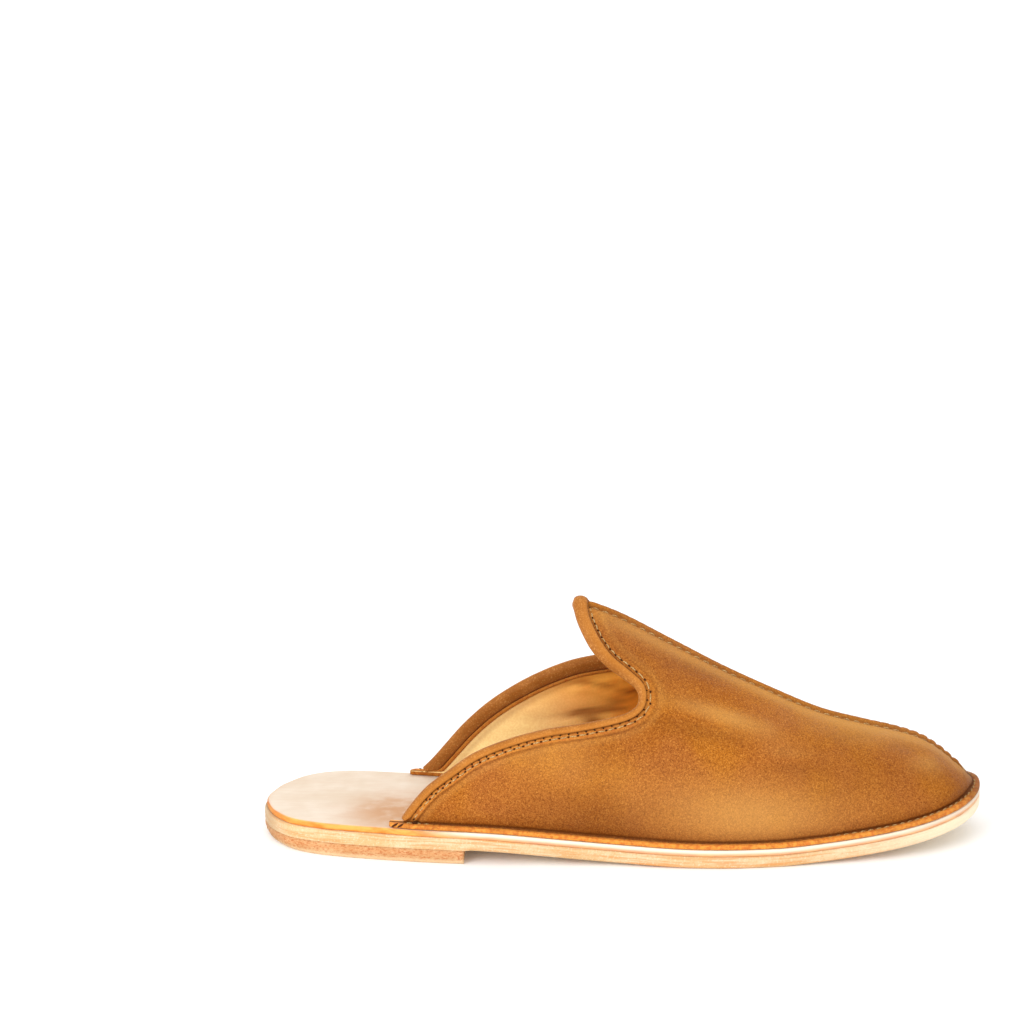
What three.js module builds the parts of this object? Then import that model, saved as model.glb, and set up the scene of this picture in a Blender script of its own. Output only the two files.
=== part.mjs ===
// A backless slip-on shoe for the right foot: a closed leather vamp with two low side wings and
// a high rounded tongue, stitched down on an insole, an outsole and one heel lift.
// Units are mm. +X points to the toe, +Z up, -Y to the outer side of the foot, +Y to the inner.
// The origin lies on the ground under the middle of the shoe's length and width.
import * as THREE from "three";
import { mergeVertices } from "three/addons/utils/BufferGeometryUtils.js";

// Main sizes of the shoe.
const SOLE_LENGTH = 287;
const BALL_WIDTH = 89;
const TONGUE_HEIGHT = 96.5;
const TOE_SPRING = 11;

// Thicknesses and small widths.
const GAP = 0.3;
const OUTSOLE_THICK = 4.8;
const INSOLE_THICK = 2.2;
const WALL = 1.8;
const FLANGE_THICK = 1.7;
const FLANGE_WIDTH = 3.0;
const FLANGE_INSET = 0.15;
const SOLE_EDGE_BULGE = 0.2;
const INSOLE_INSET = 0.1;
const LIFT_INSET = 0.2;
const EDGE_ROUND = 0.9;
const SEAM_RISE = 1.5;
const SEAM_HALF = 2.6;
const BINDING_OUTSIDE = 2.2;
const BINDING_INSIDE = 4.2;
const BINDING_THICK = 1.1;
const BINDING_BEAD = 1.6;
const SEAT_INSET = 0.9;

// Shares of the sole's length: where the heel lift ends, where the narrower heel seat of the insole
// ends and how long it takes to widen, and where the turned-out edge of the upper begins.
const AT = { breast: 0.283, seatEnd: 0.175, seatBlend: 0.045, outerFlange: 0.181, innerFlange: 0.2 };

// One row per section of the shoe from the back of the heel to the tip of the toe.
// at and topAt are shares of the sole length: the section's foot and the top seam above it.
// axis, outer and inner are shares of the ball width: the section's middle and its two half widths.
// rise is the underside's height as a share of the toe spring.
// top is the seam's height as a share of the tongue height.
// tent and full are the powers of the section's curve: a low tent gives a sharper ridge.
const SECTIONS = [
  {at: 0, axis: 0, outer: 0, inner: 0, rise: .5, topAt: 0, top: 1.07, tent: 1.5, full: 2.1},
  {at: .01, axis: 0, outer: .13, inner: .145, rise: .5, topAt: .01, top: 1.07, tent: 1.5, full: 2.1},
  {at: .024, axis: 0, outer: .208, inner: .232, rise: .5, topAt: .024, top: 1.07, tent: 1.5, full: 2.1},
  {at: .045, axis: 0, outer: .278, inner: .318, rise: .5, topAt: .045, top: 1.07, tent: 1.5, full: 2.1},
  {at: .075, axis: 0, outer: .326, inner: .372, rise: .5, topAt: .075, top: 1.07, tent: 1.5, full: 2.1},
  {at: .115, axis: .002, outer: .365, inner: .39, rise: .5, topAt: .115, top: 1.07, tent: 1.5, full: 2.1},
  {at: .175, axis: .007, outer: .408, inner: .362, rise: .5, topAt: .175, top: 1.07, tent: 1.5, full: 2.1},
  {at: .245, axis: .01, outer: .443, inner: .318, rise: .5, topAt: .245, top: 1.06, tent: 1.5, full: 2.1},
  {at: .324, axis: .015, outer: .468, inner: .278, rise: .45, topAt: .324, top: 1.04, tent: 1.5, full: 2.1},
  {at: .404, axis: .02, outer: .474, inner: .27, rise: .27, topAt: .404, top: .995, tent: 1.5, full: 2.1},
  {at: .483, axis: .025, outer: .486, inner: .312, rise: .11, topAt: .483, top: .92, tent: 1.5, full: 2.1},
  {at: .563, axis: .029, outer: .514, inner: .394, rise: .023, topAt: .563, top: .798, tent: 1.55, full: 2.1},
  {at: .632, axis: .034, outer: .524, inner: .463, rise: 0, topAt: .632, top: .689, tent: 1.65, full: 2.15},
  {at: .702, axis: .038, outer: .505, inner: .494, rise: 0, topAt: .702, top: .591, tent: 1.75, full: 2.2},
  {at: .771, axis: .044, outer: .471, inner: .48, rise: .1, topAt: .771, top: .503, tent: 1.85, full: 2.2},
  {at: .831, axis: .049, outer: .436, inner: .434, rise: .235, topAt: .831, top: .455, tent: 1.9, full: 2.2},
  {at: .881, axis: .056, outer: .398, inner: .37, rise: .39, topAt: .878, top: .422, tent: 1.9, full: 2.2},
  {at: .9205, axis: .062, outer: .352, inner: .3, rise: .555, topAt: .9135, top: .386, tent: 1.9, full: 2.2},
  {at: .9555, axis: .067, outer: .285, inner: .225, rise: .735, topAt: .9415, top: .333, tent: 1.9, full: 2.15},
  {at: .98, axis: .071, outer: .2, inner: .15, rise: .88, topAt: .9615, top: .28, tent: 1.9, full: 2.1},
  {at: .995, axis: .074, outer: .103, inner: .077, rise: .97, topAt: .977, top: .238, tent: 1.9, full: 2.05},
  {at: 1, axis: .076, outer: 0, inner: 0, rise: 1, topAt: .989, top: .21, tent: 1.9, full: 2.0},
];

// The edge of the opening, from the wing's foot round the corner to the tip of the tongue.
// outerAt and innerAt are shares of the sole length, outerHigh and innerHigh of the tongue height.
const COLLAR = [
  { outerAt: .2, outerHigh: .153, innerAt: .22, innerHigh: .153 },
  { outerAt: .213, outerHigh: .212, innerAt: .235, innerHigh: .2 },
  { outerAt: .235, outerHigh: .29, innerAt: .255, innerHigh: .273 },
  { outerAt: .265, outerHigh: .361, innerAt: .281, innerHigh: .368 },
  { outerAt: .299, outerHigh: .431, innerAt: .313, innerHigh: .464 },
  { outerAt: .343, outerHigh: .483, innerAt: .348, innerHigh: .543 },
  { outerAt: .39, outerHigh: .518, innerAt: .388, innerHigh: .613 },
  { outerAt: .433, outerHigh: .536, innerAt: .43, innerHigh: .665 },
  { outerAt: .47, outerHigh: .554, innerAt: .47, innerHigh: .69 },
  { outerAt: .5, outerHigh: .576, innerAt: .5, innerHigh: .705 },
  { outerAt: .516, outerHigh: .605, innerAt: .516, innerHigh: .719 },
  { outerAt: .521, outerHigh: .643, innerAt: .521, innerHigh: .74 },
  { outerAt: .516, outerHigh: .684, innerAt: .516, innerHigh: .764 },
  { outerAt: .498, outerHigh: .725, innerAt: .504, innerHigh: .79 },
  { outerAt: .4765, outerHigh: .769, innerAt: .49, innerHigh: .82 },
  { outerAt: .4595, outerHigh: .819, innerAt: .475, innerHigh: .855 },
  { outerAt: .448, outerHigh: .872, innerAt: .46, innerHigh: .895 },
  { outerAt: .4395, outerHigh: .924, innerAt: .446, innerHigh: .935 },
  { outerAt: .4355, outerHigh: .972, innerAt: .4355, innerHigh: .972 },
];
const CORNER_ROW = 11;
const TIP_ROW = COLLAR.length - 1;
const LAST = SECTIONS.length - 1;

// Smooth reading between the rows of a table, mirrored past both of its ends.
function read(table, column, place, flips) {
  const last = table.length - 1;
  const row = Math.min(Math.floor(place), last - 1);
  const f = place - row;
  const value = (i) => {
    if (i < 0) return (flips ? -1 : 1) * table[-i][column];
    if (i > last) return (flips ? -1 : 1) * table[2 * last - i][column];
    return table[i][column];
  };
  const [a, b, c, d] = [value(row - 1), value(row), value(row + 1), value(row + 2)];
  const curve = 2 * a - 5 * b + 4 * c - d;
  const twist = 3 * b - 3 * c + d - a;
  return b + 0.5 * f * (c - a + f * (curve + f * twist));
}

// The place in a table, in rows, where a column that only grows or only falls reaches a value.
function placeOf(table, column, value, from, to) {
  let low = from;
  let high = to;
  const grows = table[Math.round(to)][column] > table[Math.round(from)][column];
  for (let i = 0; i < 40; i++) {
    const mid = (low + high) / 2;
    if (read(table, column, mid, false) < value === grows) low = mid;
    else high = mid;
  }
  return (low + high) / 2;
}

// The place of a section between the heel seat and the front of the vamp, from its share of length.
const SEARCH_FROM = 4;
const SEARCH_TO = 14;
const placeAt = (share) => placeOf(SECTIONS, "at", share, SEARCH_FROM, SEARCH_TO);

const clamp = (v, a, b) => Math.min(Math.max(v, a), b);
const sideName = (side) => (side < 0 ? "outer" : "inner");

const axisAt = (place) => read(SECTIONS, "axis", place, false) * BALL_WIDTH;

// The sole's outline on one side (-1 outer, 1 inner), moved inwards by an inset.
function bareOutline(place, side) {
  const half = read(SECTIONS, sideName(side), place, true) * BALL_WIDTH;
  return [read(SECTIONS, "at", place, false) * SOLE_LENGTH, axisAt(place) + side * half];
}

function outline(place, side, inset) {
  const step = 0.02;
  const here = bareOutline(place, side);
  if (place < 1e-6) return [here[0] + inset, here[1]];
  if (place > LAST - 1e-6) return [here[0] - inset, here[1]];
  const before = bareOutline(Math.max(place - step, 0), side);
  const after = bareOutline(Math.min(place + step, LAST), side);
  const dx = after[0] - before[0];
  const dy = after[1] - before[1];
  const long = Math.hypot(dx, dy);
  return [here[0] + (side * inset * dy) / long, here[1] - (side * inset * dx) / long];
}

// Height of the outsole's underside over the ground.
const underside = (place) => Math.max(0, read(SECTIONS, "rise", place, false) * TOE_SPRING);
const soleTop = OUTSOLE_THICK + GAP + INSOLE_THICK;
const flangeFoot = (place) => underside(place) + soleTop + GAP;
const flangeTop = (place) => flangeFoot(place) + FLANGE_THICK;

// One point of the upper's outer face. angle runs from 0 at the flange to 90 degrees at the seam.
function upperPoint(place, side, angle) {
  const foot = outline(place, side, FLANGE_WIDTH);
  const low = flangeTop(place);
  const end = place > LAST - 1e-6;
  const ridgeX = end ? foot[0] : read(SECTIONS, "topAt", place, false) * SOLE_LENGTH;
  const ridgeY = axisAt(place);
  const ridgeZ = end ? low : read(SECTIONS, "top", place, false) * TONGUE_HEIGHT;
  const tent = read(SECTIONS, "tent", place, false);
  const full = read(SECTIONS, "full", place, false);
  const across = Math.pow(Math.max(Math.cos(angle), 0), 2 / tent);
  const up = Math.pow(Math.max(Math.sin(angle), 0), 2 / full);
  return new THREE.Vector3(
    ridgeX + (foot[0] - ridgeX) * across,
    ridgeY + (foot[1] - ridgeY) * across,
    low + (ridgeZ - low) * up,
  );
}

const RIGHT_ANGLE = Math.PI / 2;

function sideNormal(place, side, angle) {
  const p = clamp(place, 0.02, LAST - 0.02);
  const a = clamp(angle, 0.01, RIGHT_ANGLE - 0.03);
  const along = upperPoint(p + 0.01, side, a).sub(upperPoint(p - 0.01, side, a));
  const round = upperPoint(p, side, a + 0.01).sub(upperPoint(p, side, a - 0.01));
  return along.cross(round).multiplyScalar(-side).normalize();
}

// The way out of the upper's face, evened out over the seam and at the tip of the toe.
const RIDGE_BLEND = 0.12;

function upperNormal(place, side, angle) {
  if (place > LAST - 1e-6) return new THREE.Vector3(1, 0, 0);
  const own = sideNormal(place, side, angle);
  const near = clamp((angle - RIGHT_ANGLE + RIDGE_BLEND) / RIDGE_BLEND, 0, 1);
  if (near === 0) return own;
  const other = sideNormal(place, -side, angle);
  return own.multiplyScalar(2 - near).add(other.multiplyScalar(near)).normalize();
}

// How far a point of the section lies from the seam, and the angle for a wished distance.
function reach(place, side) {
  const foot = upperPoint(place, side, 0);
  const top = upperPoint(place, side, RIGHT_ANGLE);
  return Math.hypot(foot.x - top.x, foot.y - top.y);
}

function seamDistance(place, side, angle) {
  const tent = read(SECTIONS, "tent", place, false);
  return reach(place, side) * Math.pow(Math.max(Math.cos(angle), 0), 2 / tent);
}

function angleAtDistance(place, side, distance) {
  const tent = read(SECTIONS, "tent", place, false);
  const share = clamp(distance / Math.max(reach(place, side), 1e-6), 0, 1);
  return Math.acos(Math.pow(share, tent / 2));
}

// The raised seam: a low rounded step on the outer face.
function seamRise(distance) {
  if (distance >= SEAM_HALF) return 0;
  return SEAM_RISE * Math.pow(Math.cos((RIGHT_ANGLE * distance) / SEAM_HALF), 1.2);
}

// The place along the shoe and the angle round the section of one point of the collar.
function collarSpot(row, side) {
  const name = sideName(side);
  const at = read(COLLAR, name + "At", row, false);
  const place = placeAt(at);
  if (row > TIP_ROW - 1e-6) return { place, angle: RIGHT_ANGLE };
  const high = read(COLLAR, name + "High", row, false) * TONGUE_HEIGHT;
  const low = flangeTop(place);
  const ridge = read(SECTIONS, "top", place, false) * TONGUE_HEIGHT;
  const full = read(SECTIONS, "full", place, false);
  const share = clamp((high - low) / (ridge - low), 0, 1);
  return { place, angle: Math.asin(Math.pow(share, full / 2)) };
}

// A mesh builder that closes a body from strips of points.
class Skin {
  constructor() {
    this.spots = [];
  }
  triangle(a, b, c) {
    const same = (p, q) => p.distanceToSquared(q) < 1e-8;
    if (same(a, b) || same(b, c) || same(c, a)) return;
    this.spots.push(a.x, a.y, a.z, b.x, b.y, b.z, c.x, c.y, c.z);
  }
  quad(a, b, c, d) {
    if (a.distanceToSquared(c) < b.distanceToSquared(d)) {
      this.triangle(a, b, c);
      this.triangle(a, c, d);
    } else {
      this.triangle(a, b, d);
      this.triangle(b, c, d);
    }
  }
  // Joins two equally long rows of points; closed rows also join last to first.
  strip(first, second, closed) {
    const count = first.length;
    for (let i = 0; i + (closed ? 0 : 1) < count; i++) {
      const j = (i + 1) % count;
      this.quad(first[i], first[j], second[j], second[i]);
    }
  }
  geometry() {
    const g = new THREE.BufferGeometry();
    g.setAttribute("position", new THREE.Float32BufferAttribute(this.spots, 3));
    const merged = mergeVertices(g, 1e-4);
    merged.computeVertexNormals();
    return merged;
  }
}

// The insole is a little smaller than the outsole round the heel seat, and flush further forward.
function seatInset(place) {
  const forward = clamp((read(SECTIONS, "at", place, false) - AT.seatEnd) / AT.seatBlend, 0, 1);
  return SEAT_INSET * (1 - forward * forward * (3 - 2 * forward));
}

// A sole layer between two places, from rings of inset and height, lowest ring first.
const SOLE_STEPS = 66;
const LIFT_STEPS = 30;

function layer(from, to, steps, rings, seated) {
  const skin = new Skin();
  const cuts = [];
  for (let i = 0; i <= steps; i++) {
    const place = from + ((to - from) * i) / steps;
    const walk = (side) =>
      rings.map((ring) => {
        const [x, y] = outline(place, side, ring.inset + (seated ? seatInset(place) : 0));
        return new THREE.Vector3(x, y, ring.height(place));
      });
    cuts.push(walk(-1).concat(walk(1).reverse()));
  }
  for (let i = 0; i < steps; i++) skin.strip(cuts[i + 1], cuts[i], true);
  const cap = (cut, turned) => {
    for (let j = 0; j + 1 < rings.length; j++) {
      const [a, b] = [cut[j], cut[j + 1]];
      const [c, d] = [cut[2 * rings.length - 2 - j], cut[2 * rings.length - 1 - j]];
      if (turned) skin.quad(a, b, c, d);
      else skin.quad(d, c, b, a);
    }
  };
  if (from > 1e-6) cap(cuts[0], true);
  if (to < LAST - 1e-6) cap(cuts[steps], false);
  return skin.geometry();
}

function outsoleGeometry() {
  return layer(0, LAST, SOLE_STEPS, [
    { inset: EDGE_ROUND, height: underside },
    { inset: SOLE_EDGE_BULGE, height: (p) => underside(p) + EDGE_ROUND },
    { inset: 0, height: (p) => underside(p) + OUTSOLE_THICK - EDGE_ROUND / 2 },
    { inset: EDGE_ROUND / 2, height: (p) => underside(p) + OUTSOLE_THICK },
  ]);
}

function insoleGeometry() {
  const foot = (p) => underside(p) + OUTSOLE_THICK + GAP;
  return layer(0, LAST, SOLE_STEPS, [
    { inset: EDGE_ROUND / 2, height: foot },
    { inset: INSOLE_INSET, height: (p) => foot(p) + EDGE_ROUND / 2 },
    { inset: INSOLE_INSET, height: (p) => foot(p) + INSOLE_THICK - EDGE_ROUND / 2 },
    { inset: EDGE_ROUND / 2, height: (p) => foot(p) + INSOLE_THICK },
  ], true);
}

function heelLiftGeometry() {
  const breast = placeAt(AT.breast);
  const top = (p) => underside(p) - GAP;
  return layer(0, breast, LIFT_STEPS, [
    { inset: EDGE_ROUND, height: () => 0 },
    { inset: LIFT_INSET, height: () => EDGE_ROUND },
    { inset: LIFT_INSET, height: (p) => top(p) - EDGE_ROUND / 2 },
    { inset: EDGE_ROUND / 2, height: top },
  ]);
}

// Rows of the upper's grid: LOW_ROWS below the corner of the opening, HIGH_ROWS above it.
const LOW_ROWS = 6;
const HIGH_ROWS = 6;
const TONGUE_COLUMNS = 12;
const VAMP_COLUMNS = 36;

function lowAngles(top) {
  const angles = [];
  for (let j = 0; j <= LOW_ROWS; j++) angles.push((top * j) / LOW_ROWS);
  return angles;
}

function highAngles(place, side, start) {
  const room = seamDistance(place, side, start);
  const foot = angleAtDistance(place, side, Math.min(SEAM_HALF, 0.6 * room));
  const half = angleAtDistance(place, side, Math.min(SEAM_HALF / 2, 0.3 * room));
  const plain = HIGH_ROWS - 2;
  const angles = [];
  for (let j = 0; j <= plain; j++) angles.push(start + ((foot - start) * j) / plain);
  return angles.concat([half, RIGHT_ANGLE]);
}

// The outer and the inner face of the wall at one spot of the grid. The mitre keeps the wall's
// thickness where the two sides meet at the seam.
const SHARPEST = 0.6;

function wallPair(place, side, angle) {
  const face = upperPoint(place, side, angle);
  const way = upperNormal(place, side, angle);
  const distance = seamDistance(place, side, angle);
  const atSeam = angle > RIGHT_ANGLE - 1e-6 && place < LAST - 1e-6;
  const mitre = atSeam ? 1 / Math.max(way.dot(sideNormal(place, side, angle)), SHARPEST) : 1;
  const rise = place > LAST - 1e-6 ? 0 : seamRise(distance);
  return {
    out: face.clone().addScaledVector(way, rise),
    inn: face.clone().addScaledVector(way, -WALL * mitre),
  };
}

// Rows of the collar's table where the wing has a column, closer together where it is steep.
const WING_ROWS = [0, 0.35, 0.7, 1.05, 1.4, 1.8, 2.2, 2.7, 3.2, 3.8, 4.4, 5, 5.6, 6.3];

// Wing columns run from the flange's end to the tip of the tongue, then shared columns follow.
function wingPlaces(side) {
  const name = sideName(side) + "At";
  const places = [placeAt(AT[sideName(side) + "Flange"])];
  WING_ROWS.forEach((row) => places.push(placeAt(read(COLLAR, name, row, false))));
  return places;
}

function tonguePlaces(steps) {
  const back = COLLAR[TIP_ROW].outerAt;
  const front = COLLAR[CORNER_ROW].outerAt;
  const places = [];
  for (let i = 0; i <= steps; i++) {
    const at = (front + back) / 2 - ((front - back) / 2) * Math.cos((Math.PI * i) / steps);
    places.push(placeAt(at));
  }
  return places;
}

function vampPlaces(start, steps) {
  const places = [];
  for (let i = 1; i <= steps; i++) {
    const f = i / steps;
    places.push(start + (LAST - start) * f);
  }
  return places;
}

function wingTop(place, side) {
  const name = sideName(side) + "At";
  const at = read(SECTIONS, "at", place, false);
  if (at <= COLLAR[0][name]) return 0;
  return collarSpot(placeOf(COLLAR, name, at, 0, CORNER_ROW), side).angle;
}

function tongueFoot(place, side) {
  const name = sideName(side) + "At";
  const at = read(SECTIONS, "at", place, false);
  if (at <= COLLAR[TIP_ROW][name] + 1e-6) return RIGHT_ANGLE;
  return collarSpot(placeOf(COLLAR, name, at, CORNER_ROW, TIP_ROW), side).angle;
}

// The turned-out edge at one place: outer top, outer foot, inner foot.
function flangeCorners(place, side, inner) {
  const [x, y] = outline(place, side, seatInset(place) + FLANGE_INSET);
  return [
    new THREE.Vector3(x, y, flangeTop(place)),
    new THREE.Vector3(x, y, flangeFoot(place)),
    new THREE.Vector3(inner.x, inner.y, flangeFoot(place)),
  ];
}

function upperGeometry() {
  const skin = new Skin();
  const shared = tonguePlaces(TONGUE_COLUMNS);
  const corner = shared[shared.length - 1];
  const front = vampPlaces(corner, VAMP_COLUMNS);
  for (const side of [-1, 1]) {
    const turn = (a, b, closed) => (side < 0 ? skin.strip(a, b, closed) : skin.strip(b, a, closed));
    const split = collarSpot(CORNER_ROW, side).angle;
    const pairs = (place, angles) => angles.map((angle) => wallPair(place, side, angle));
    const wings = wingPlaces(side).concat(shared);
    const low = wings.map((p) => pairs(p, lowAngles(p === corner ? split : wingTop(p, side))));
    const lowFront = front.map((p) => pairs(p, lowAngles(split)));
    const lowAll = low.concat(lowFront);
    const placesAll = wings.concat(front);
    const high = shared.map((p) => pairs(p, highAngles(p, side, p === corner ? split : tongueFoot(p, side))));
    const highFront = front.map((p) => pairs(p, highAngles(p, side, split)));
    const highAll = high.concat(highFront);
    // Faces below the split, with the flange under them.
    const loops = lowAll.map((column, i) => {
      const foot = flangeCorners(placesAll[i], side, column[0].inn);
      const out = column.map((pair) => pair.out);
      const inn = column.map((pair) => pair.inn);
      return { line: inn.slice().reverse().concat([foot[2], foot[1], foot[0]], out), out, inn, foot };
    });
    for (let i = 0; i + 1 < loops.length; i++) turn(loops[i + 1].line, loops[i].line, false);
    // The cut edge along the wing, and the end of the flange.
    for (let i = 0; i + 1 < wings.length; i++) {
      const [a, b] = [loops[i], loops[i + 1]];
      turn([b.out[LOW_ROWS], b.inn[LOW_ROWS]], [a.out[LOW_ROWS], a.inn[LOW_ROWS]], false);
    }
    const end = loops[0];
    const cap = [end.out[0], end.foot[0], end.foot[1], end.foot[2], end.inn[0]];
    const fan = (a, b, c) => (side < 0 ? skin.triangle(a, b, c) : skin.triangle(c, b, a));
    fan(cap[0], cap[2], cap[1]);
    fan(cap[0], cap[3], cap[2]);
    fan(cap[0], cap[4], cap[3]);
    // Faces above the split up to the seam, and the cut edge along the tongue.
    for (let i = 0; i + 1 < highAll.length; i++) {
      const [a, b] = [highAll[i], highAll[i + 1]];
      turn(b.map((pair) => pair.out), a.map((pair) => pair.out), false);
      turn(a.map((pair) => pair.inn), b.map((pair) => pair.inn), false);
    }
    for (let i = 0; i + 1 < shared.length; i++) {
      const [a, b] = [highAll[i][0], highAll[i + 1][0]];
      turn([b.inn, b.out], [a.inn, a.out], false);
    }
  }
  return skin.geometry();
}

const STEP = 0.01;

// A walk over the upper's face from a collar point, square to the edge and into the leather.
function walkFrom(row, side, distances) {
  const { place, angle } = collarSpot(row, side);
  const tipped = row > TIP_ROW - 1e-6;
  const spot = (r) => {
    const s = collarSpot(clamp(r, 0, TIP_ROW), side);
    return upperPoint(s.place, side, s.angle);
  };
  const tangent = tipped
    ? new THREE.Vector3(0, -side, 0)
    : spot(row + 0.05).sub(spot(row - 0.05)).normalize();
  const way = upperNormal(place, side, angle);
  const into = tipped
    ? upperPoint(place + 0.05, side, RIGHT_ANGLE).sub(upperPoint(place, side, RIGHT_ANGLE)).normalize()
    : way.clone().cross(tangent).multiplyScalar(side).normalize();
  const steps = [{ point: upperPoint(place, side, angle), way }];
  let [p, a] = [place, angle];
  let gone = 0;
  for (const distance of distances) {
    const pieces = 4;
    for (let k = 0; k < pieces; k++) {
      const safe = clamp(a, 0.02, RIGHT_ANGLE - (tipped ? 0 : 0.02));
      const along = upperPoint(p + STEP, side, safe).sub(upperPoint(p - STEP, side, safe));
      const round = upperPoint(p, side, safe + STEP).sub(upperPoint(p, side, safe - STEP));
      along.divideScalar(2 * STEP);
      round.divideScalar(2 * STEP);
      const stride = (distance - gone) / pieces;
      if (tipped) {
        p += stride / along.length();
        continue;
      }
      const [aa, ab, bb] = [along.dot(along), along.dot(round), round.dot(round)];
      const [da, db] = [along.dot(into), round.dot(into)];
      const det = aa * bb - ab * ab;
      p += (stride * (bb * da - ab * db)) / det;
      a = clamp(a + (stride * (aa * db - ab * da)) / det, 0, RIGHT_ANGLE);
    }
    gone = distance;
    steps.push({ point: upperPoint(p, side, a), way: upperNormal(p, side, a), place: p });
  }
  return { steps, into };
}

// The binding's cross-section at one collar point, a folded strip over the cut edge. It narrows
// where the wing runs down to the flange, and follows the raised seam at the tongue's tip.
const FOOT_ROOM = 0.4;
const NARROWEST = 0.4;
const FOLD_ROOM = 0.3;

function bindingCut(row, side) {
  const { place } = collarSpot(row, side);
  const start = walkFrom(row, side, []);
  const floor = flangeTop(place) + FOOT_ROOM;
  const slope = Math.max(-start.into.z, 0.05);
  const room = (start.steps[0].point.z - floor) / slope;
  const outside = clamp(room, NARROWEST, BINDING_OUTSIDE);
  const inside = clamp(room, outside + FOLD_ROOM, BINDING_INSIDE);
  const { steps, into } = walkFrom(row, side, [outside / 2, outside, inside]);
  const nearTip = row > TIP_ROW - 2;
  const rise = (k) => (nearTip ? seamRise(Math.abs(steps[k].point.y - axisAt(place))) : 0);
  const put = (k, out) => steps[k].point.clone().addScaledVector(steps[k].way, out);
  const past = (back, out) => put(0, out).addScaledVector(into, -back);
  const low = -WALL - GAP;
  return [
    put(2, GAP + rise(2)),
    put(2, GAP + rise(2) + 0.7 * BINDING_THICK),
    put(1, GAP + rise(1) + BINDING_THICK),
    put(0, GAP + rise(0) + BINDING_THICK * 1.15),
    past(0.75 * BINDING_BEAD, GAP + rise(0) + 0.4 * BINDING_THICK),
    past(BINDING_BEAD, -WALL / 2),
    past(0.75 * BINDING_BEAD, low - 0.4 * BINDING_THICK),
    put(0, low - BINDING_THICK * 1.15),
    put(2, low - BINDING_THICK),
    put(3, low - 0.7 * BINDING_THICK),
    put(3, low),
    put(2, low),
    past(GAP, low),
    past(GAP, GAP + rise(0)),
    put(1, GAP + rise(1)),
  ];
}

// Rows of the collar's table where the binding has a cross-section, closer round the corner.
const BINDING_FROM = 0.4;
const FINER_FROM = 9;
const WING_STEP = 0.45;
const TONGUE_STEP = 0.3;

function bindingGeometry() {
  const skin = new Skin();
  const rows = [];
  for (let row = BINDING_FROM; row < FINER_FROM; row += WING_STEP) rows.push(row);
  for (let row = FINER_FROM; row < TIP_ROW - 0.1; row += TONGUE_STEP) rows.push(row);
  const outer = rows.map((row) => bindingCut(row, -1));
  const inner = rows.map((row) => bindingCut(row, 1));
  const cuts = outer.concat([bindingCut(TIP_ROW, -1)], inner.reverse());
  for (let i = 0; i + 1 < cuts.length; i++) skin.strip(cuts[i + 1], cuts[i], true);
  const cap = (cut, turned) => {
    const faces = [
      [0, 1, 2], [0, 2, 14], [14, 2, 3], [14, 3, 13], [13, 3, 4], [13, 4, 5], [13, 5, 12],
      [12, 5, 6], [12, 6, 7], [12, 7, 11], [11, 7, 8], [11, 8, 10], [10, 8, 9],
    ];
    faces.forEach(([a, b, c]) => {
      if (turned) skin.triangle(cut[a], cut[c], cut[b]);
      else skin.triangle(cut[a], cut[b], cut[c]);
    });
  };
  cap(cuts[0], false);
  cap(cuts[cuts.length - 1], true);
  return skin.geometry();
}

// The outline's greatest reach to each side, which centres the shoe on the origin.
function sideReach(side) {
  let most = 0;
  for (let place = 0; place <= LAST; place += 0.05) {
    most = Math.max(most, side * bareOutline(place, side)[1]);
  }
  return most;
}

const leather = (name, colour) =>
  new THREE.MeshStandardMaterial({ name, color: colour, roughness: 0.6, metalness: 0 });

const shoe = new THREE.Group();
shoe.name = "mule_shoe";
shoe.position.set(-SOLE_LENGTH / 2, (sideReach(-1) - sideReach(1)) / 2, 0);

function add(name, geometry, colour) {
  const mesh = new THREE.Mesh(geometry, leather(name, colour));
  mesh.name = name;
  shoe.add(mesh);
}

add("outsole", outsoleGeometry(), 0xe6cda0);
add("insole", insoleGeometry(), 0xecdcc4);
add("heel_lift", heelLiftGeometry(), 0xcfa274);
add("upper", upperGeometry(), 0xb07336);
add("topline_binding", bindingGeometry(), 0xc48c50);

const root = new THREE.Group();
root.add(shoe);

export default root;
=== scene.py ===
import math

import bmesh
import bpy
import numpy as np
from mathutils import Euler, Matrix, Vector, kdtree, noise


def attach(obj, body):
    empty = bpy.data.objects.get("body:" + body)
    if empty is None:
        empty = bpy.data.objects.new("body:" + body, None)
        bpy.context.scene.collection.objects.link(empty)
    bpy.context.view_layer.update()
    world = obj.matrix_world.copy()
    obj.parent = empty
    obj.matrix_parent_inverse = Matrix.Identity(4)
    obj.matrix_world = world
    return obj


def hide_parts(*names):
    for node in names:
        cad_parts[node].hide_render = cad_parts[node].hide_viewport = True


# The looks of a backless leather slip-on shoe for the right foot. Lengths in the tables and the
# named sizes are millimetres, with +X to the toe, +Z up and -Y to the outer side of the foot.
# Meshes are made in metres, in the frame's own place.
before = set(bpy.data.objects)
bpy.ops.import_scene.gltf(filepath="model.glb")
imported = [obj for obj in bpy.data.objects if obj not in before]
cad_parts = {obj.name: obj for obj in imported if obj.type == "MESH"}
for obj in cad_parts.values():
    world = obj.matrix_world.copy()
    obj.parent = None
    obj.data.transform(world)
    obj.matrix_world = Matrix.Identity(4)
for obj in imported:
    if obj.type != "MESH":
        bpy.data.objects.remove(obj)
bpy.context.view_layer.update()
MM = 0.001

# Main sizes of the shoe; SHIFT_Y moves the sole's own axis so that the shoe stands centred.
SOLE_LENGTH = 287.0
BALL_WIDTH = 89.0
TONGUE_HEIGHT = 96.5
TOE_SPRING = 11.0
SHIFT_Y = -1.897

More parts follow.
